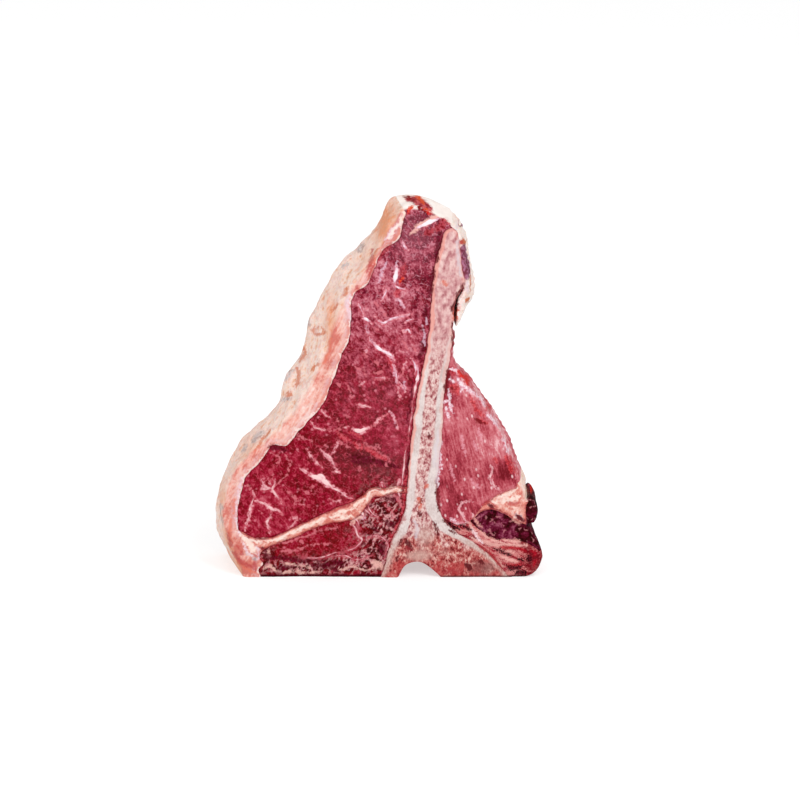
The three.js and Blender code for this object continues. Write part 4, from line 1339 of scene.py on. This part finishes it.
# %% Finish for the tenderloin
def fine_meat(name):
    """Slanted strokes in two sizes over a slow drift, paler to the outside."""
    f = Finish(name)
    coarse = f.noise(f.stretch(f.mm, (0.5, 0.3, 0.1), turn=17), 1.0, 3, 0.6)
    strokes = f.noise(f.stretch(f.mm, (1.1, 0.4, 0.2), turn=17), 1.0, 3, 0.6)
    drift = f.noise(f.mm, 0.07, 3)
    fine = f.noise(f.mm, 0.9, 2, 0.6)
    tone = f.stir(f.value("tone"), drift, 0.4, 0.25, 0.75)
    for part, swing in ((coarse, 0.3), (strokes, 0.24), (fine, 0.18)):
        tone = f.stir(tone, part, swing)
    colour = f.scale_colours(
        f.between(tone, -1.6, 1.6),
        (0.08, 120, 6, 34), (0.32, 168, 58, 72), (0.5, 192, 92, 102),
        (0.7, 208, 120, 128), (0.95, 238, 188, 192),
    )
    spot, random = f.cells(f.stretch(f.mm, (1, 1, 0.6), turn=17), 0.32)
    dots = f.times(f.between(spot, 0.26, 0.1), f.between(random, 0.55, 0.62, 0, 0.8))
    colour = f.blend(dots, colour, shade(240, 196, 200))
    jitter = f.swing(f.noise(f.mm, 0.6, 3, 0.6), 1.3)
    bright = f.mottle(fine, 0.4, 0.6, shade(166, 10, 32), shade(220, 74, 78))
    # lilac strokes: painted highlights where the wet cut mirrors the light, and pale tissue in
    # places
    marks = (
        ("red", bright, 0.75, 2.4), ("faint", shade(224, 150, 162), 0.75, 1.3),
        ("thread", shade(236, 178, 184), 0.8, 1.2), ("dark", shade(118, 2, 30), 0.9, 1.8),
        ("lilac", f.mottle(fine, 0.36, 0.58, shade(222, 160, 178), shade(250, 232, 240)), 0.85, 1.6),
        ("rust", f.mottle(fine, 0.36, 0.6, shade(190, 10, 22), shade(232, 52, 44)), 0.95, 1.8),
    )
    bloom = f.stir(f.noise(f.stretch(f.mm, (0.5, 0.3, 0.28)), 1.0, 3, 0.6), drift, 0.1)
    skin = f.scale_colours(
        bloom, (0.32, 200, 66, 78), (0.46, 222, 122, 132), (0.58, 236, 170, 176),
        (0.74, 250, 216, 214),
    )
    cover = f.stir(f.value("skin"), fine, 0.2)
    colour = f.blend(f.between(cover, 0.1, 0.9, 0, 0.85), colour, skin)
    colour = f.painted(colour, jitter, *marks)
    height = f.plus(strokes, coarse)
    return f.done(colour, f.between(strokes, 0.3, 0.7, 0.36, 0.54), height, 0.35, gloss=0.16)


tenderloin_meat = fine_meat("tenderloin_meat")

# %% Lay the tenderloin
tender_left = run["bone_right"][::-1]
TENDER_TOP, FLAP_FOOT = 139.4, 143.5  # heights
tender_left = tender_left[: int(np.argmax(tender_left[:, 1] > TENDER_TOP)) + 1]
tender_right = on_outside(LEAVES["kidney_top"][1], place_on_outline(34.6, 139))
tender_top = straight(tender_left[-1], tender_right[-1], 6)
tender_base = joined(run["tender_bottom"], run["kidney_top"])
tender = slab(
    "tenderloin", tender_left, tender_right, tender_base, tender_top,
    across=96, up=200, deep=24,
)
lay("tenderloin_fillet", "tenderloin", tender, tenderloin_meat, "tenderloin_meat")
veins("tenderloin_veins", "tenderloin", tender, TENDER_THREADS, vein_finish)

# %% [markdown]
# ## Fat
#
# The fat cap wraps the strip loin from the base to the tip, and a seam of fat runs from it
# to the bone. Aged fat is cream to pink, with rosy streaks where it meets the meat, and
# its dried outside is yellower, with rusty cracks and a grey bloom in places.


# %% Finish for fat
def fat(name, blush=0.5, stain=(170, 150, 150), stained=0.75, rusty=0.75, banded=1.0, milky_and_lit=0.0):
    """Cream and pink on the cut face, banded along its border with the meat and with a painted
    highlight right at that border, and cream and orange on the dried outside."""
    f = Finish(name)
    drift = f.noise(f.mm, 0.1, 4, 0.6)
    lumps = f.noise(f.mm, 0.2, 4, 0.6)
    fine = f.noise(f.mm, 0.6, 4, 0.65)
    streak = f.noise(f.stretch(f.mm, (0.8, 0.25, 0.16), turn=-26), 1.0, 3, 0.6)
    tone = f.stir(f.swing(drift, 0.4), streak, 0.3)
    grit = 0.2 + 0.25 * (1 - banded)
    tone = f.stir(tone, fine, grit)
    tone = f.plus(tone, f.plus(f.value("warm"), blush - 0.5))
    face = f.scale_colours(
        f.between(tone, -1.2, 1.2),
        (0.1, 250, 224, 214), (0.38, 240, 192, 181), (0.62, 234, 167, 153),
        (0.9, 212, 116, 103),
    )
    rim = f.stir(f.value("rim"), fine, 0.7)
    lilac = f.times(f.between(rim, 4.5, 2.5), f.between(lumps, 0.35, 0.6, 0, 0.55 * banded))
    face = f.blend(lilac, face, shade(228, 186, 190))
    rosy = f.times(f.between(rim, 2.4, 1.2, 0, 0.6), f.between(drift, 0.36, 0.5))
    face = f.blend(rosy, face, shade(222, 124, 108))
    # painted highlight: a near-white line right along the border with the meat
    lit_brink = f.stir(rim, drift, 0.9, 0.35, 0.65)
    face = f.blend(f.between(lit_brink, 1.1, 0.2, 0, 0.75 * banded), face, shade(250, 226, 220))

    shift = f.swing(fine, 0.06)
    hide = f.scale_colours(
        f.plus(lumps, shift), (0.32, 238, 172, 140), (0.42, 250, 210, 190),
        (0.52, 253, 228, 216), (0.6, 240, 206, 198), (0.7, 246, 190, 164),
    )
    warm = f.value("warm")
    warm = f.sums("MULTIPLY_ADD", f.swing(lumps, 0.5), warm, warm)
    hide = f.blend(f.between(warm, 0.0, 1.2), hide, shade(242, 162, 122))
    colour = f.blend(f.value("skin"), face, hide)
    # whitening: partly paler fat, and partly a painted highlight where the top light blows the fat
    # out
    colour = f.blend(milky_and_lit, colour, shade(255, 252, 249))
    jitter = f.swing(fine, 1.3)
    lighter = (int(v * 0.6 + 110) for v in stain)
    grime = f.mottle(f.stir(fine, lumps, 0.1), 0.4, 0.6, shade(*stain), shade(*lighter))
    # lilac strokes: painted highlights where the wet cut mirrors the light, and pale tissue in
    # places
    colour = f.painted(
        colour, jitter,
        ("rust", f.blend(f.value("skin"), shade(226, 116, 92), shade(216, 112, 70)), rusty, 1.8),
        ("red", shade(190, 60, 62), 0.75, 1.8), ("grey", grime, stained, 2.2),
        ("thread", shade(250, 216, 204), 0.7, 1.4), ("lilac", shade(240, 214, 224), 0.75, 2.0),
        ("dark", shade(112, 8, 34), 1.0, 1.6), ("pale", shade(253, 230, 218), 0.8, 1.8),
    )
    edge = f.between(rim, 1.2, 0.1, 0, 0.85 * (1 - banded))
    colour = f.blend(edge, colour, shade(166, 44, 50))
    height = f.plus(f.times(fine, 0.7), lumps)
    return f.done(colour, f.between(fine, 0.3, 0.7, 0.42, 0.6), height, 0.7, gloss=0.4, glow=0.12)


cap_fat = fat("cap_fat")
seam_fat = fat("seam_fat", blush=0.7, banded=0.0)
kidney_fat = fat("kidney_fat", blush=0.5, banded=0.0)
# the flap's fat is whitened: partly paler fat, partly painted highlight
flank_fat = fat(
    "flank_fat", blush=-0.05, stain=(118, 2, 50), stained=1.0, rusty=1.0, banded=0.5, milky_and_lit=0.4
)

# %% Lay the fat cap, as a ribbon from the base to the tip
root = straight(run["seam_top"][0], low_border[root_at], 20)
cap_outer = on_outside(0, LEAVES["fat_strip"][1])
tuck = run["fat_strip"].copy()
TUCK, TUCK_REACH = [0.7, -0.5, 0.7, -0.5], 4  # the end at the tip is moved under the meat
near_tip = np.clip(1 - np.linalg.norm(tuck[:, :2] - tuck[0, :2], axis=1) / TUCK_REACH, 0, 1)
tuck[:, :4] += near_tip[:, None] * TUCK
cap_inner = joined(tuck, root, low_border[root_at:])[::-1]
cap_base = straight(cap_outer[0], cap_inner[0])
cap_tip = straight(cap_outer[-1], cap_inner[-1], 4)
cap = slab("fat_cap", cap_outer, cap_inner, cap_base, cap_tip, across=30, up=430, deep=44, same=root)
lay("fat_cap_rind", "fat_cap", cap, cap_fat, "cap_fat")

# %% Lay the seam of fat
seam = slab(
    "fat_cap", root[::-1], run["bone_left_seam"][::-1], back_top, run["seam_top"],
    across=200, up=24, deep=6, same=root,
)
lay("fat_seam", "fat_cap", seam, seam_fat, "cap_fat")

# %% Lay the kidney fat and the flap beside the bone
TENDER_END, NOOK = LEAVES["kidney_top"][1], LEAVES["lump_side"][1]
kidney_low = joined(run["kidney_bottom"], run["lump_side"])[2:]
kidney_high = run["kidney_top"][2:]
kidney = slab(
    "kidney_fat", straight(kidney_low[0], kidney_high[0]), on_outside(NOOK, TENDER_END),
    kidney_low, kidney_high, across=110, up=44, deep=20,
)
lay("kidney_fat_knob", "kidney_fat", kidney, kidney_fat, "kidney_fat")

flap_left = joined(run["flap_inner"][::-1], run["bone_right_tip"][::-1])
FLAP_END = place_on_outline(35.2, 143)
flap_left = flap_left[int(np.argmax(flap_left[:, 1] > FLAP_FOOT)) :]
flap_right = on_outside(FLAP_END, TIP_END)
flap = slab(
    "flank_flap", flap_left, flap_right, straight(flap_left[0], flap_right[0]),
    straight(flap_left[-1], flap_right[-1]), across=22, up=180, deep=40,
)
lay("flank_flap_fat", "flank_flap", flap, flank_fat, "flank_fat")

# %% [markdown]
# ## The bone
#
# The bone is a slender blade of spongy marrow between two shells of hard bone, and it
# opens into a wide spongy foot with a notch, the canal for the spinal cord. The shells are
# smooth and cream to grey. The sponge is a lace of pale bone round small red pores.


# %% Where the shells of the bone end
SHELL = [  # share of the way up the bone: left shell's share of the width, right shell's
    (0.0, 0.02, 0.03), (0.04, 0.03, 0.03), (0.08, 0.05, 0.055), (0.11, 0.075, 0.1),
    (0.14, 0.12, 0.17), (0.165, 0.18, 0.25), (0.19, 0.24, 0.3), (0.22, 0.29, 0.34),
    (0.25, 0.32, 0.35), (0.3, 0.34, 0.29), (0.34, 0.37, 0.24), (0.4, 0.4, 0.21),
    (0.6, 0.34, 0.22), (0.72, 0.24, 0.16), (0.8, 0.06, 0.05), (1.0, 0.0, 0.0),
]
print("shells given at", len(SHELL), "heights")


def sponge_share(shape):
    """1 in the spongy middle and 0 in the shells, from the way across and up the patch."""
    at, left, right = np.array(SHELL).T
    from_left = shape["u"] - np.interp(shape["v"], at, left)
    from_right = 1 - np.interp(shape["v"], at, right) - shape["u"]
    return np.clip(0.5 + 7 * np.minimum(from_left, from_right), 0, 1)


# %% Finish for bone
def bone(name):
    """Cream shells with a rosy film, and a lace of cream struts and red hollows between
    them that turns redder in the foot and closer at the tip."""
    f = Finish(name)
    drift = f.noise(f.mm, 0.12, 3)
    fine = f.noise(f.stretch(f.mm, (1, 0.4, 0.6)), 1.1, 3, 0.6)
    z = f.level()
    tall = f.between(z, 110, 150)
    shell = f.scale_colours(
        f.stir(drift, fine, 0.14),
        (0.3, 204, 184, 180), (0.5, 218, 203, 200), (0.7, 230, 214, 210),
    )
    shell = f.blend(tall, shell, shade(220, 180, 176))
    dull = f.mottle(fine, 0.35, 0.65, shade(184, 138, 128), shade(208, 178, 168))
    shell = f.blend(f.between(z, 30, 12, 0, 0.85), shell, dull)
    lace = f.noise(f.stretch(f.mm, (0.48, 0.3, 0.34)), 1.0, 4, 0.62)
    lace = f.stir(lace, fine, 0.08)
    sponge = f.scale_colours(
        lace, (0.3, 132, 52, 62), (0.4, 180, 108, 110), (0.48, 206, 155, 152),
        (0.56, 224, 188, 183), (0.7, 242, 218, 212),
    )
    close = f.stir(f.noise(f.stretch(f.mm, (0.4, 0.3, 0.26)), 1.0, 3, 0.5), fine, 0.04)
    close = f.scale_colours(
        close, (0.3, 170, 100, 105), (0.44, 203, 145, 147), (0.54, 219, 171, 169),
        (0.68, 235, 200, 195),
    )
    sponge = f.blend(tall, sponge, close)
    red_sponge = f.scale_colours(
        lace, (0.34, 112, 12, 24), (0.43, 166, 60, 60), (0.53, 194, 108, 102),
        (0.64, 226, 176, 164),
    )
    ruddy = f.stir(z, f.noise(f.mm, 0.16, 3), 7)
    foot = f.between(ruddy, 30, 17)
    sponge = f.blend(foot, sponge, red_sponge)
    deep = f.times(f.between(ruddy, 10, 2), f.between(fine, 0.35, 0.6, 0.3, 0.8))
    sponge = f.blend(deep, sponge, shade(186, 56, 58))
    grey = f.between(f.value("grey_foot"), 0.2, 1.2, 0, 0.7)
    sponge = f.blend(grey, sponge, shade(204, 166, 156))
    murky = f.stir(f.value("tone"), fine, 0.2)
    murk = f.blend(lace, shade(92, 24, 32), shade(172, 96, 92))
    sponge = f.blend(f.between(murky, -0.2, -1.1, 0, 0.85), sponge, murk)
    colour = f.blend(f.between(f.value("sponge"), 0.25, 0.75), shell, sponge)
    jitter = f.swing(fine, 1.0)
    wide = f.between(z, 70, 125, 1.1, 1.8)
    close_by = f.minus(wide, f.stir(f.value("rim"), drift, 0.5))
    film = f.times(f.between(f.value("u"), 0.5, 0.35, 0.45, 1), f.between(close_by, -0.5, 0.5))
    colour = f.blend(f.times(film, f.between(z, 46, 60, 0, 0.75)), colour, shade(234, 154, 142))
    # lilac strokes: painted highlights where the wet cut mirrors the light, and pale tissue in
    # places
    colour = f.painted(
        colour, jitter,
        ("dark", shade(104, 10, 30), 0.95, 1.6), ("rust", shade(216, 100, 78), 0.75, 1.8),
        ("red", shade(166, 40, 50), 0.6, 1.6), ("lilac", shade(218, 204, 210), 0.7, 1.8),
    )
    colour = f.blend(f.between(f.value("rim"), 0.5, 0.0, 0, 0.55), colour, shade(180, 84, 84))
    # painted contact shadow along the base, on its right part
    base_shadow = f.times(f.between(z, 1.6, 0.3, 0, 0.75), f.value("base_line"))
    colour = f.blend(base_shadow, colour, shade(60, 10, 16))
    colour = f.blend(f.times(f.value("skin"), 0.6), colour, shade(222, 160, 150))
    height = f.times(lace, f.value("sponge"))
    height = f.plus(height, f.times(fine, 0.3))
    return f.done(colour, f.between(fine, 0.3, 0.7, 0.45, 0.62), height, 0.6, gloss=0.25)


bone_finish = bone("bone")

# %% Lay the bone
arch = smooth_curve(CANAL)[::-1]
canal = edge(arch, arch.copy())
bone_base = joined(
    straight(run["bone_left_foot"][-1], canal[0], 10),
    canal,
    straight(canal[-1], run["bone_right_foot"][-1], 30),
)
left_runs = "bone_left_foot", "bone_left_seam", "bone_left_upper"
right_runs = "bone_right_foot", "bone_right", "bone_right_slit", "bone_right_tip"
bone_left, bone_right = (joined(*(run[k][::-1] for k in runs)) for runs in (left_runs, right_runs))
left_end = int(np.argmax(np.hypot(*(bone_left[:, :2] - BONE_TOP).T) < 5))
right_end = int(np.argmax(np.hypot(*(bone_right[:, :2] - BONE_TOP).T) < 3.4))
bone_tip = joined(bone_left[left_end:], bone_right[right_end:][::-1])
blade = slab(
    "t_bone", bone_left[: left_end + 1], bone_right[: right_end + 1], bone_base, bone_tip,
    across=72, up=330, deep=10,
)
GREY_FOOT = [  # where the foot is greyer
    (425, 535, 12, 14, 1.0), (418, 556, 14, 6, 1.3), (488, 568, 8, 8, 1.0), (445, 552, 8, 6, 0.6),
]
SHADOW_FROM = 436  # right of this in the picture the base gets a painted contact shadow
seen = seen_at(blade["marked_at"])
lay(
    "bone_blade", "t_bone", blade, bone_finish, "bone", sponge=sponge_share(blade),
    grey_foot=blots(seen, GREY_FOOT), base_line=np.clip((seen[:, 0] - SHADOW_FROM) / 8, 0, 1),
)

# %% [markdown]
# ## Dried scraps round the foot
#
# Right of the bone's foot lie a dark, dried muscle with a small black lump on its end, and
# below it a fan of sinew, fat and meat in stripes. Both are the roughest parts of the cut
# face, so their relief is deeper and their colours are broken up more.


# %% Finish for dark crust
def dark_crust(name):
    """Almost black crags with wine-red hollows and a few pale flecks."""
    f = Finish(name)
    lumps = f.noise(f.mm, 0.28, 3, 0.55)
    fine = f.noise(f.mm, 0.9, 3, 0.6)
    tone = f.sums("MULTIPLY_ADD", f.value("tone"), 0.07, lumps)
    colour = f.scale_colours(
        f.stir(tone, fine, 0.07),
        (0.32, 54, 0, 14), (0.45, 80, 4, 32), (0.56, 108, 30, 54),
        (0.7, 152, 78, 98),
    )
    curls = short_fibres(f, f.mm, 0.22, 0.07, 0.54)
    colour = f.blend(f.times(curls, 0.6), colour, shade(196, 122, 128))
    jitter = f.swing(fine, 1.2)
    colour = f.painted(
        colour, jitter, ("dark", shade(34, 0, 6), 0.9, 1.6),
        ("red", f.mottle(fine, 0.35, 0.6, shade(140, 0, 8), shade(228, 40, 18)), 0.95, 2.4),
        ("thread", shade(226, 160, 150), 0.85, 1.2), ("pale", shade(232, 184, 170), 0.8, 1.0),
    )
    return f.done(colour, f.between(fine, 0.3, 0.7, 0.34, 0.5), lumps, 1.4, gloss=0.04)


# %% Finish for striped tissue
def striped(name):
    """Stripes of salmon, red and cream that fan down to the right."""
    f = Finish(name)
    bend = f.noise(f.mm, 0.08, 2)
    lanes = f.stretch(f.mm, (0.07, 0.12, 0.42), turn=-20)
    lift = f.add("VectorMath", bend, (0, 0, 2.6), operation="MULTIPLY").outputs[0]
    lanes = f.add("VectorMath", lanes, lift, operation="ADD").outputs[0]
    stripes = f.noise(lanes, 1.0, 4, 0.6)
    fine = f.noise(f.mm, 1.2, 3, 0.6)
    colour = f.scale_colours(
        f.stir(stripes, fine, 0.07),
        (0.3, 88, 0, 22), (0.4, 146, 32, 46), (0.49, 186, 86, 90),
        (0.58, 216, 142, 138), (0.7, 154, 44, 58),
    )
    wine = f.between(f.stir(f.value("tone"), fine, 0.3), -0.3, -0.9)
    deep = f.blend(stripes, shade(60, 0, 10), shade(158, 20, 40))
    colour = f.blend(f.times(wine, 0.85), colour, deep)
    # dark strokes include painted shadow between the tendons, low on the right and along the base;
    # lilac strokes are painted highlights of the wet cut
    colour = f.painted(
        colour, f.swing(fine, 1.2),
        ("thread", shade(234, 176, 168), 0.8, 1.6), ("faint", shade(226, 168, 168), 0.7, 1.2),
        ("lilac", shade(242, 214, 220), 0.8, 1.6),
        ("red", f.mottle(fine, 0.4, 0.6, shade(140, 6, 34), shade(192, 24, 42)), 0.85, 2.0),
        ("dark", f.mottle(fine, 0.4, 0.6, shade(34, 0, 4), shade(104, 10, 38)), 0.95, 1.8),
        ("rust", shade(214, 96, 80), 0.8, 1.4),
    )
    # painted contact shadow along the base, where the tissue meets the table
    colour = f.blend(f.between(f.level(), 1.8, 0.4, 0, 0.8), colour, shade(44, 2, 12))
    hide = f.mottle(fine, 0.4, 0.6, shade(96, 22, 28), shade(186, 62, 62))
    colour = f.blend(f.times(f.value("skin"), 0.7), colour, hide)
    height = f.plus(stripes, f.times(fine, 0.3))
    return f.done(colour, f.between(fine, 0.3, 0.7, 0.34, 0.55), height, 1.0, gloss=0.06)


side_crust, chine_stripes = dark_crust("dark_crust"), striped("chine_tissue")

# %% Lay the dark muscle and its lump
LUMP_END, LUMP_TOP = place_on_outline(79.4, 29.4), place_on_outline(82.2, 42.6)
SIDE_END = LEAVES["side_bottom"][1]
lump_root = straight(run["kidney_bottom"][-1], on_outside(LUMP_END, LUMP_END)[0], 8)
side_top = joined(run["kidney_bottom"][3:], lump_root)
side_low = run["side_bottom"][3:]
side = slab(
    "side_muscle", straight(side_low[0], side_top[0]), on_outside(SIDE_END, LUMP_END),
    side_low, side_top, across=150, up=56, deep=24, same=lump_root,
)
lay("side_muscle_crust", "side_muscle", side, side_crust, "dark_crust")
lump = slab(
    "side_muscle", run["lump_side"], on_outside(LUMP_END, LUMP_TOP), lump_root,
    on_outside(NOOK, LUMP_TOP), across=20, up=44, deep=40, same=lump_root,
)
lay("side_muscle_lump", "side_muscle", lump, side_crust, "dark_crust")

# %% Lay the striped tissue
heel = on_outside(len(outline) - 1, SIDE_END)
chine_base = joined(
    run["bone_right_foot"], straight(run["bone_right_foot"][-1], heel[0], 8)
)
chine = slab(
    "chine_tissue", run["tender_bottom"], heel, chine_base, run["side_bottom"],
    across=150, up=60, deep=24,
)
lay("chine_tissue_fan", "chine_tissue", chine, chine_stripes, "chine_tissue")

# %% [markdown]
# ## Floor and light
#
# A white surround and a pale table that glows faintly, as a photographer's light table
# does, light the steak softly from all sides. Two large lamps, one high on the right and
# one low on the left, give the grain its shine. The plain Standard view keeps the colours
# as they are painted.

# %% The floor
floor_mesh = bpy.data.meshes.new("floor")
TABLE = 3.0  # half the table's width, in metres
corners = [(-TABLE, -TABLE, 0), (TABLE, -TABLE, 0), (TABLE, TABLE, 0), (-TABLE, TABLE, 0)]
floor_mesh.from_pydata(corners, [], [(0, 1, 2, 3)])
floor = bpy.data.objects.new("floor", floor_mesh)
bpy.context.scene.collection.objects.link(floor)
pale = bpy.data.materials.new("pale_floor")
pale.use_nodes = True
table = pale.node_tree.nodes["Principled BSDF"].inputs
table["Base Color"].default_value = (0.5, 0.5, 0.5, 1)
table["Roughness"].default_value = 0.9
table["Emission Color"].default_value = (1, 1, 1, 1)
table["Emission Strength"].default_value = 0.5
floor_mesh.materials.append(pale)
floor.visible_glossy = False
print("floor:", 2 * TABLE, "m wide")

# %% The light
world = bpy.data.worlds.new("white")
world.use_nodes = True
sky = world.node_tree
white = sky.nodes["Background"]
white.inputs["Color"].default_value = (1, 1, 1, 1)
path = sky.nodes.new("ShaderNodeLightPath")
dim = sky.nodes.new("ShaderNodeMapRange")
dim.inputs["To Min"].default_value = 1.0  # white for all rays
dim.inputs["To Max"].default_value = 0.15  # but dim where a surface mirrors it
sky.links.new(path.outputs["Is Glossy Ray"], dim.inputs["Value"])
sky.links.new(dim.outputs[0], white.inputs["Strength"])
bpy.context.scene.world = world


def lamp(name, spot, size, watts):
    """A square lamp at `spot`, turned to face the middle of the steak."""
    data = bpy.data.lights.new(name, "AREA")
    data.size, data.energy = size, watts
    made = bpy.data.objects.new(name, data)
    made.location = spot
    sight = Vector((0, 0, 0.1)) - Vector(spot)
    made.rotation_euler = sight.to_track_quat("-Z", "Y").to_euler()
    bpy.context.scene.collection.objects.link(made)
    print(f"lamp {name}: {watts} W, {size} m wide")


lamp("high_right", (0.7, -1.0, 1.3), 0.8, 14)
lamp("low_left", (-1.1, -0.9, 0.5), 0.8, 6)
bpy.context.scene.view_settings.view_transform = "Standard"
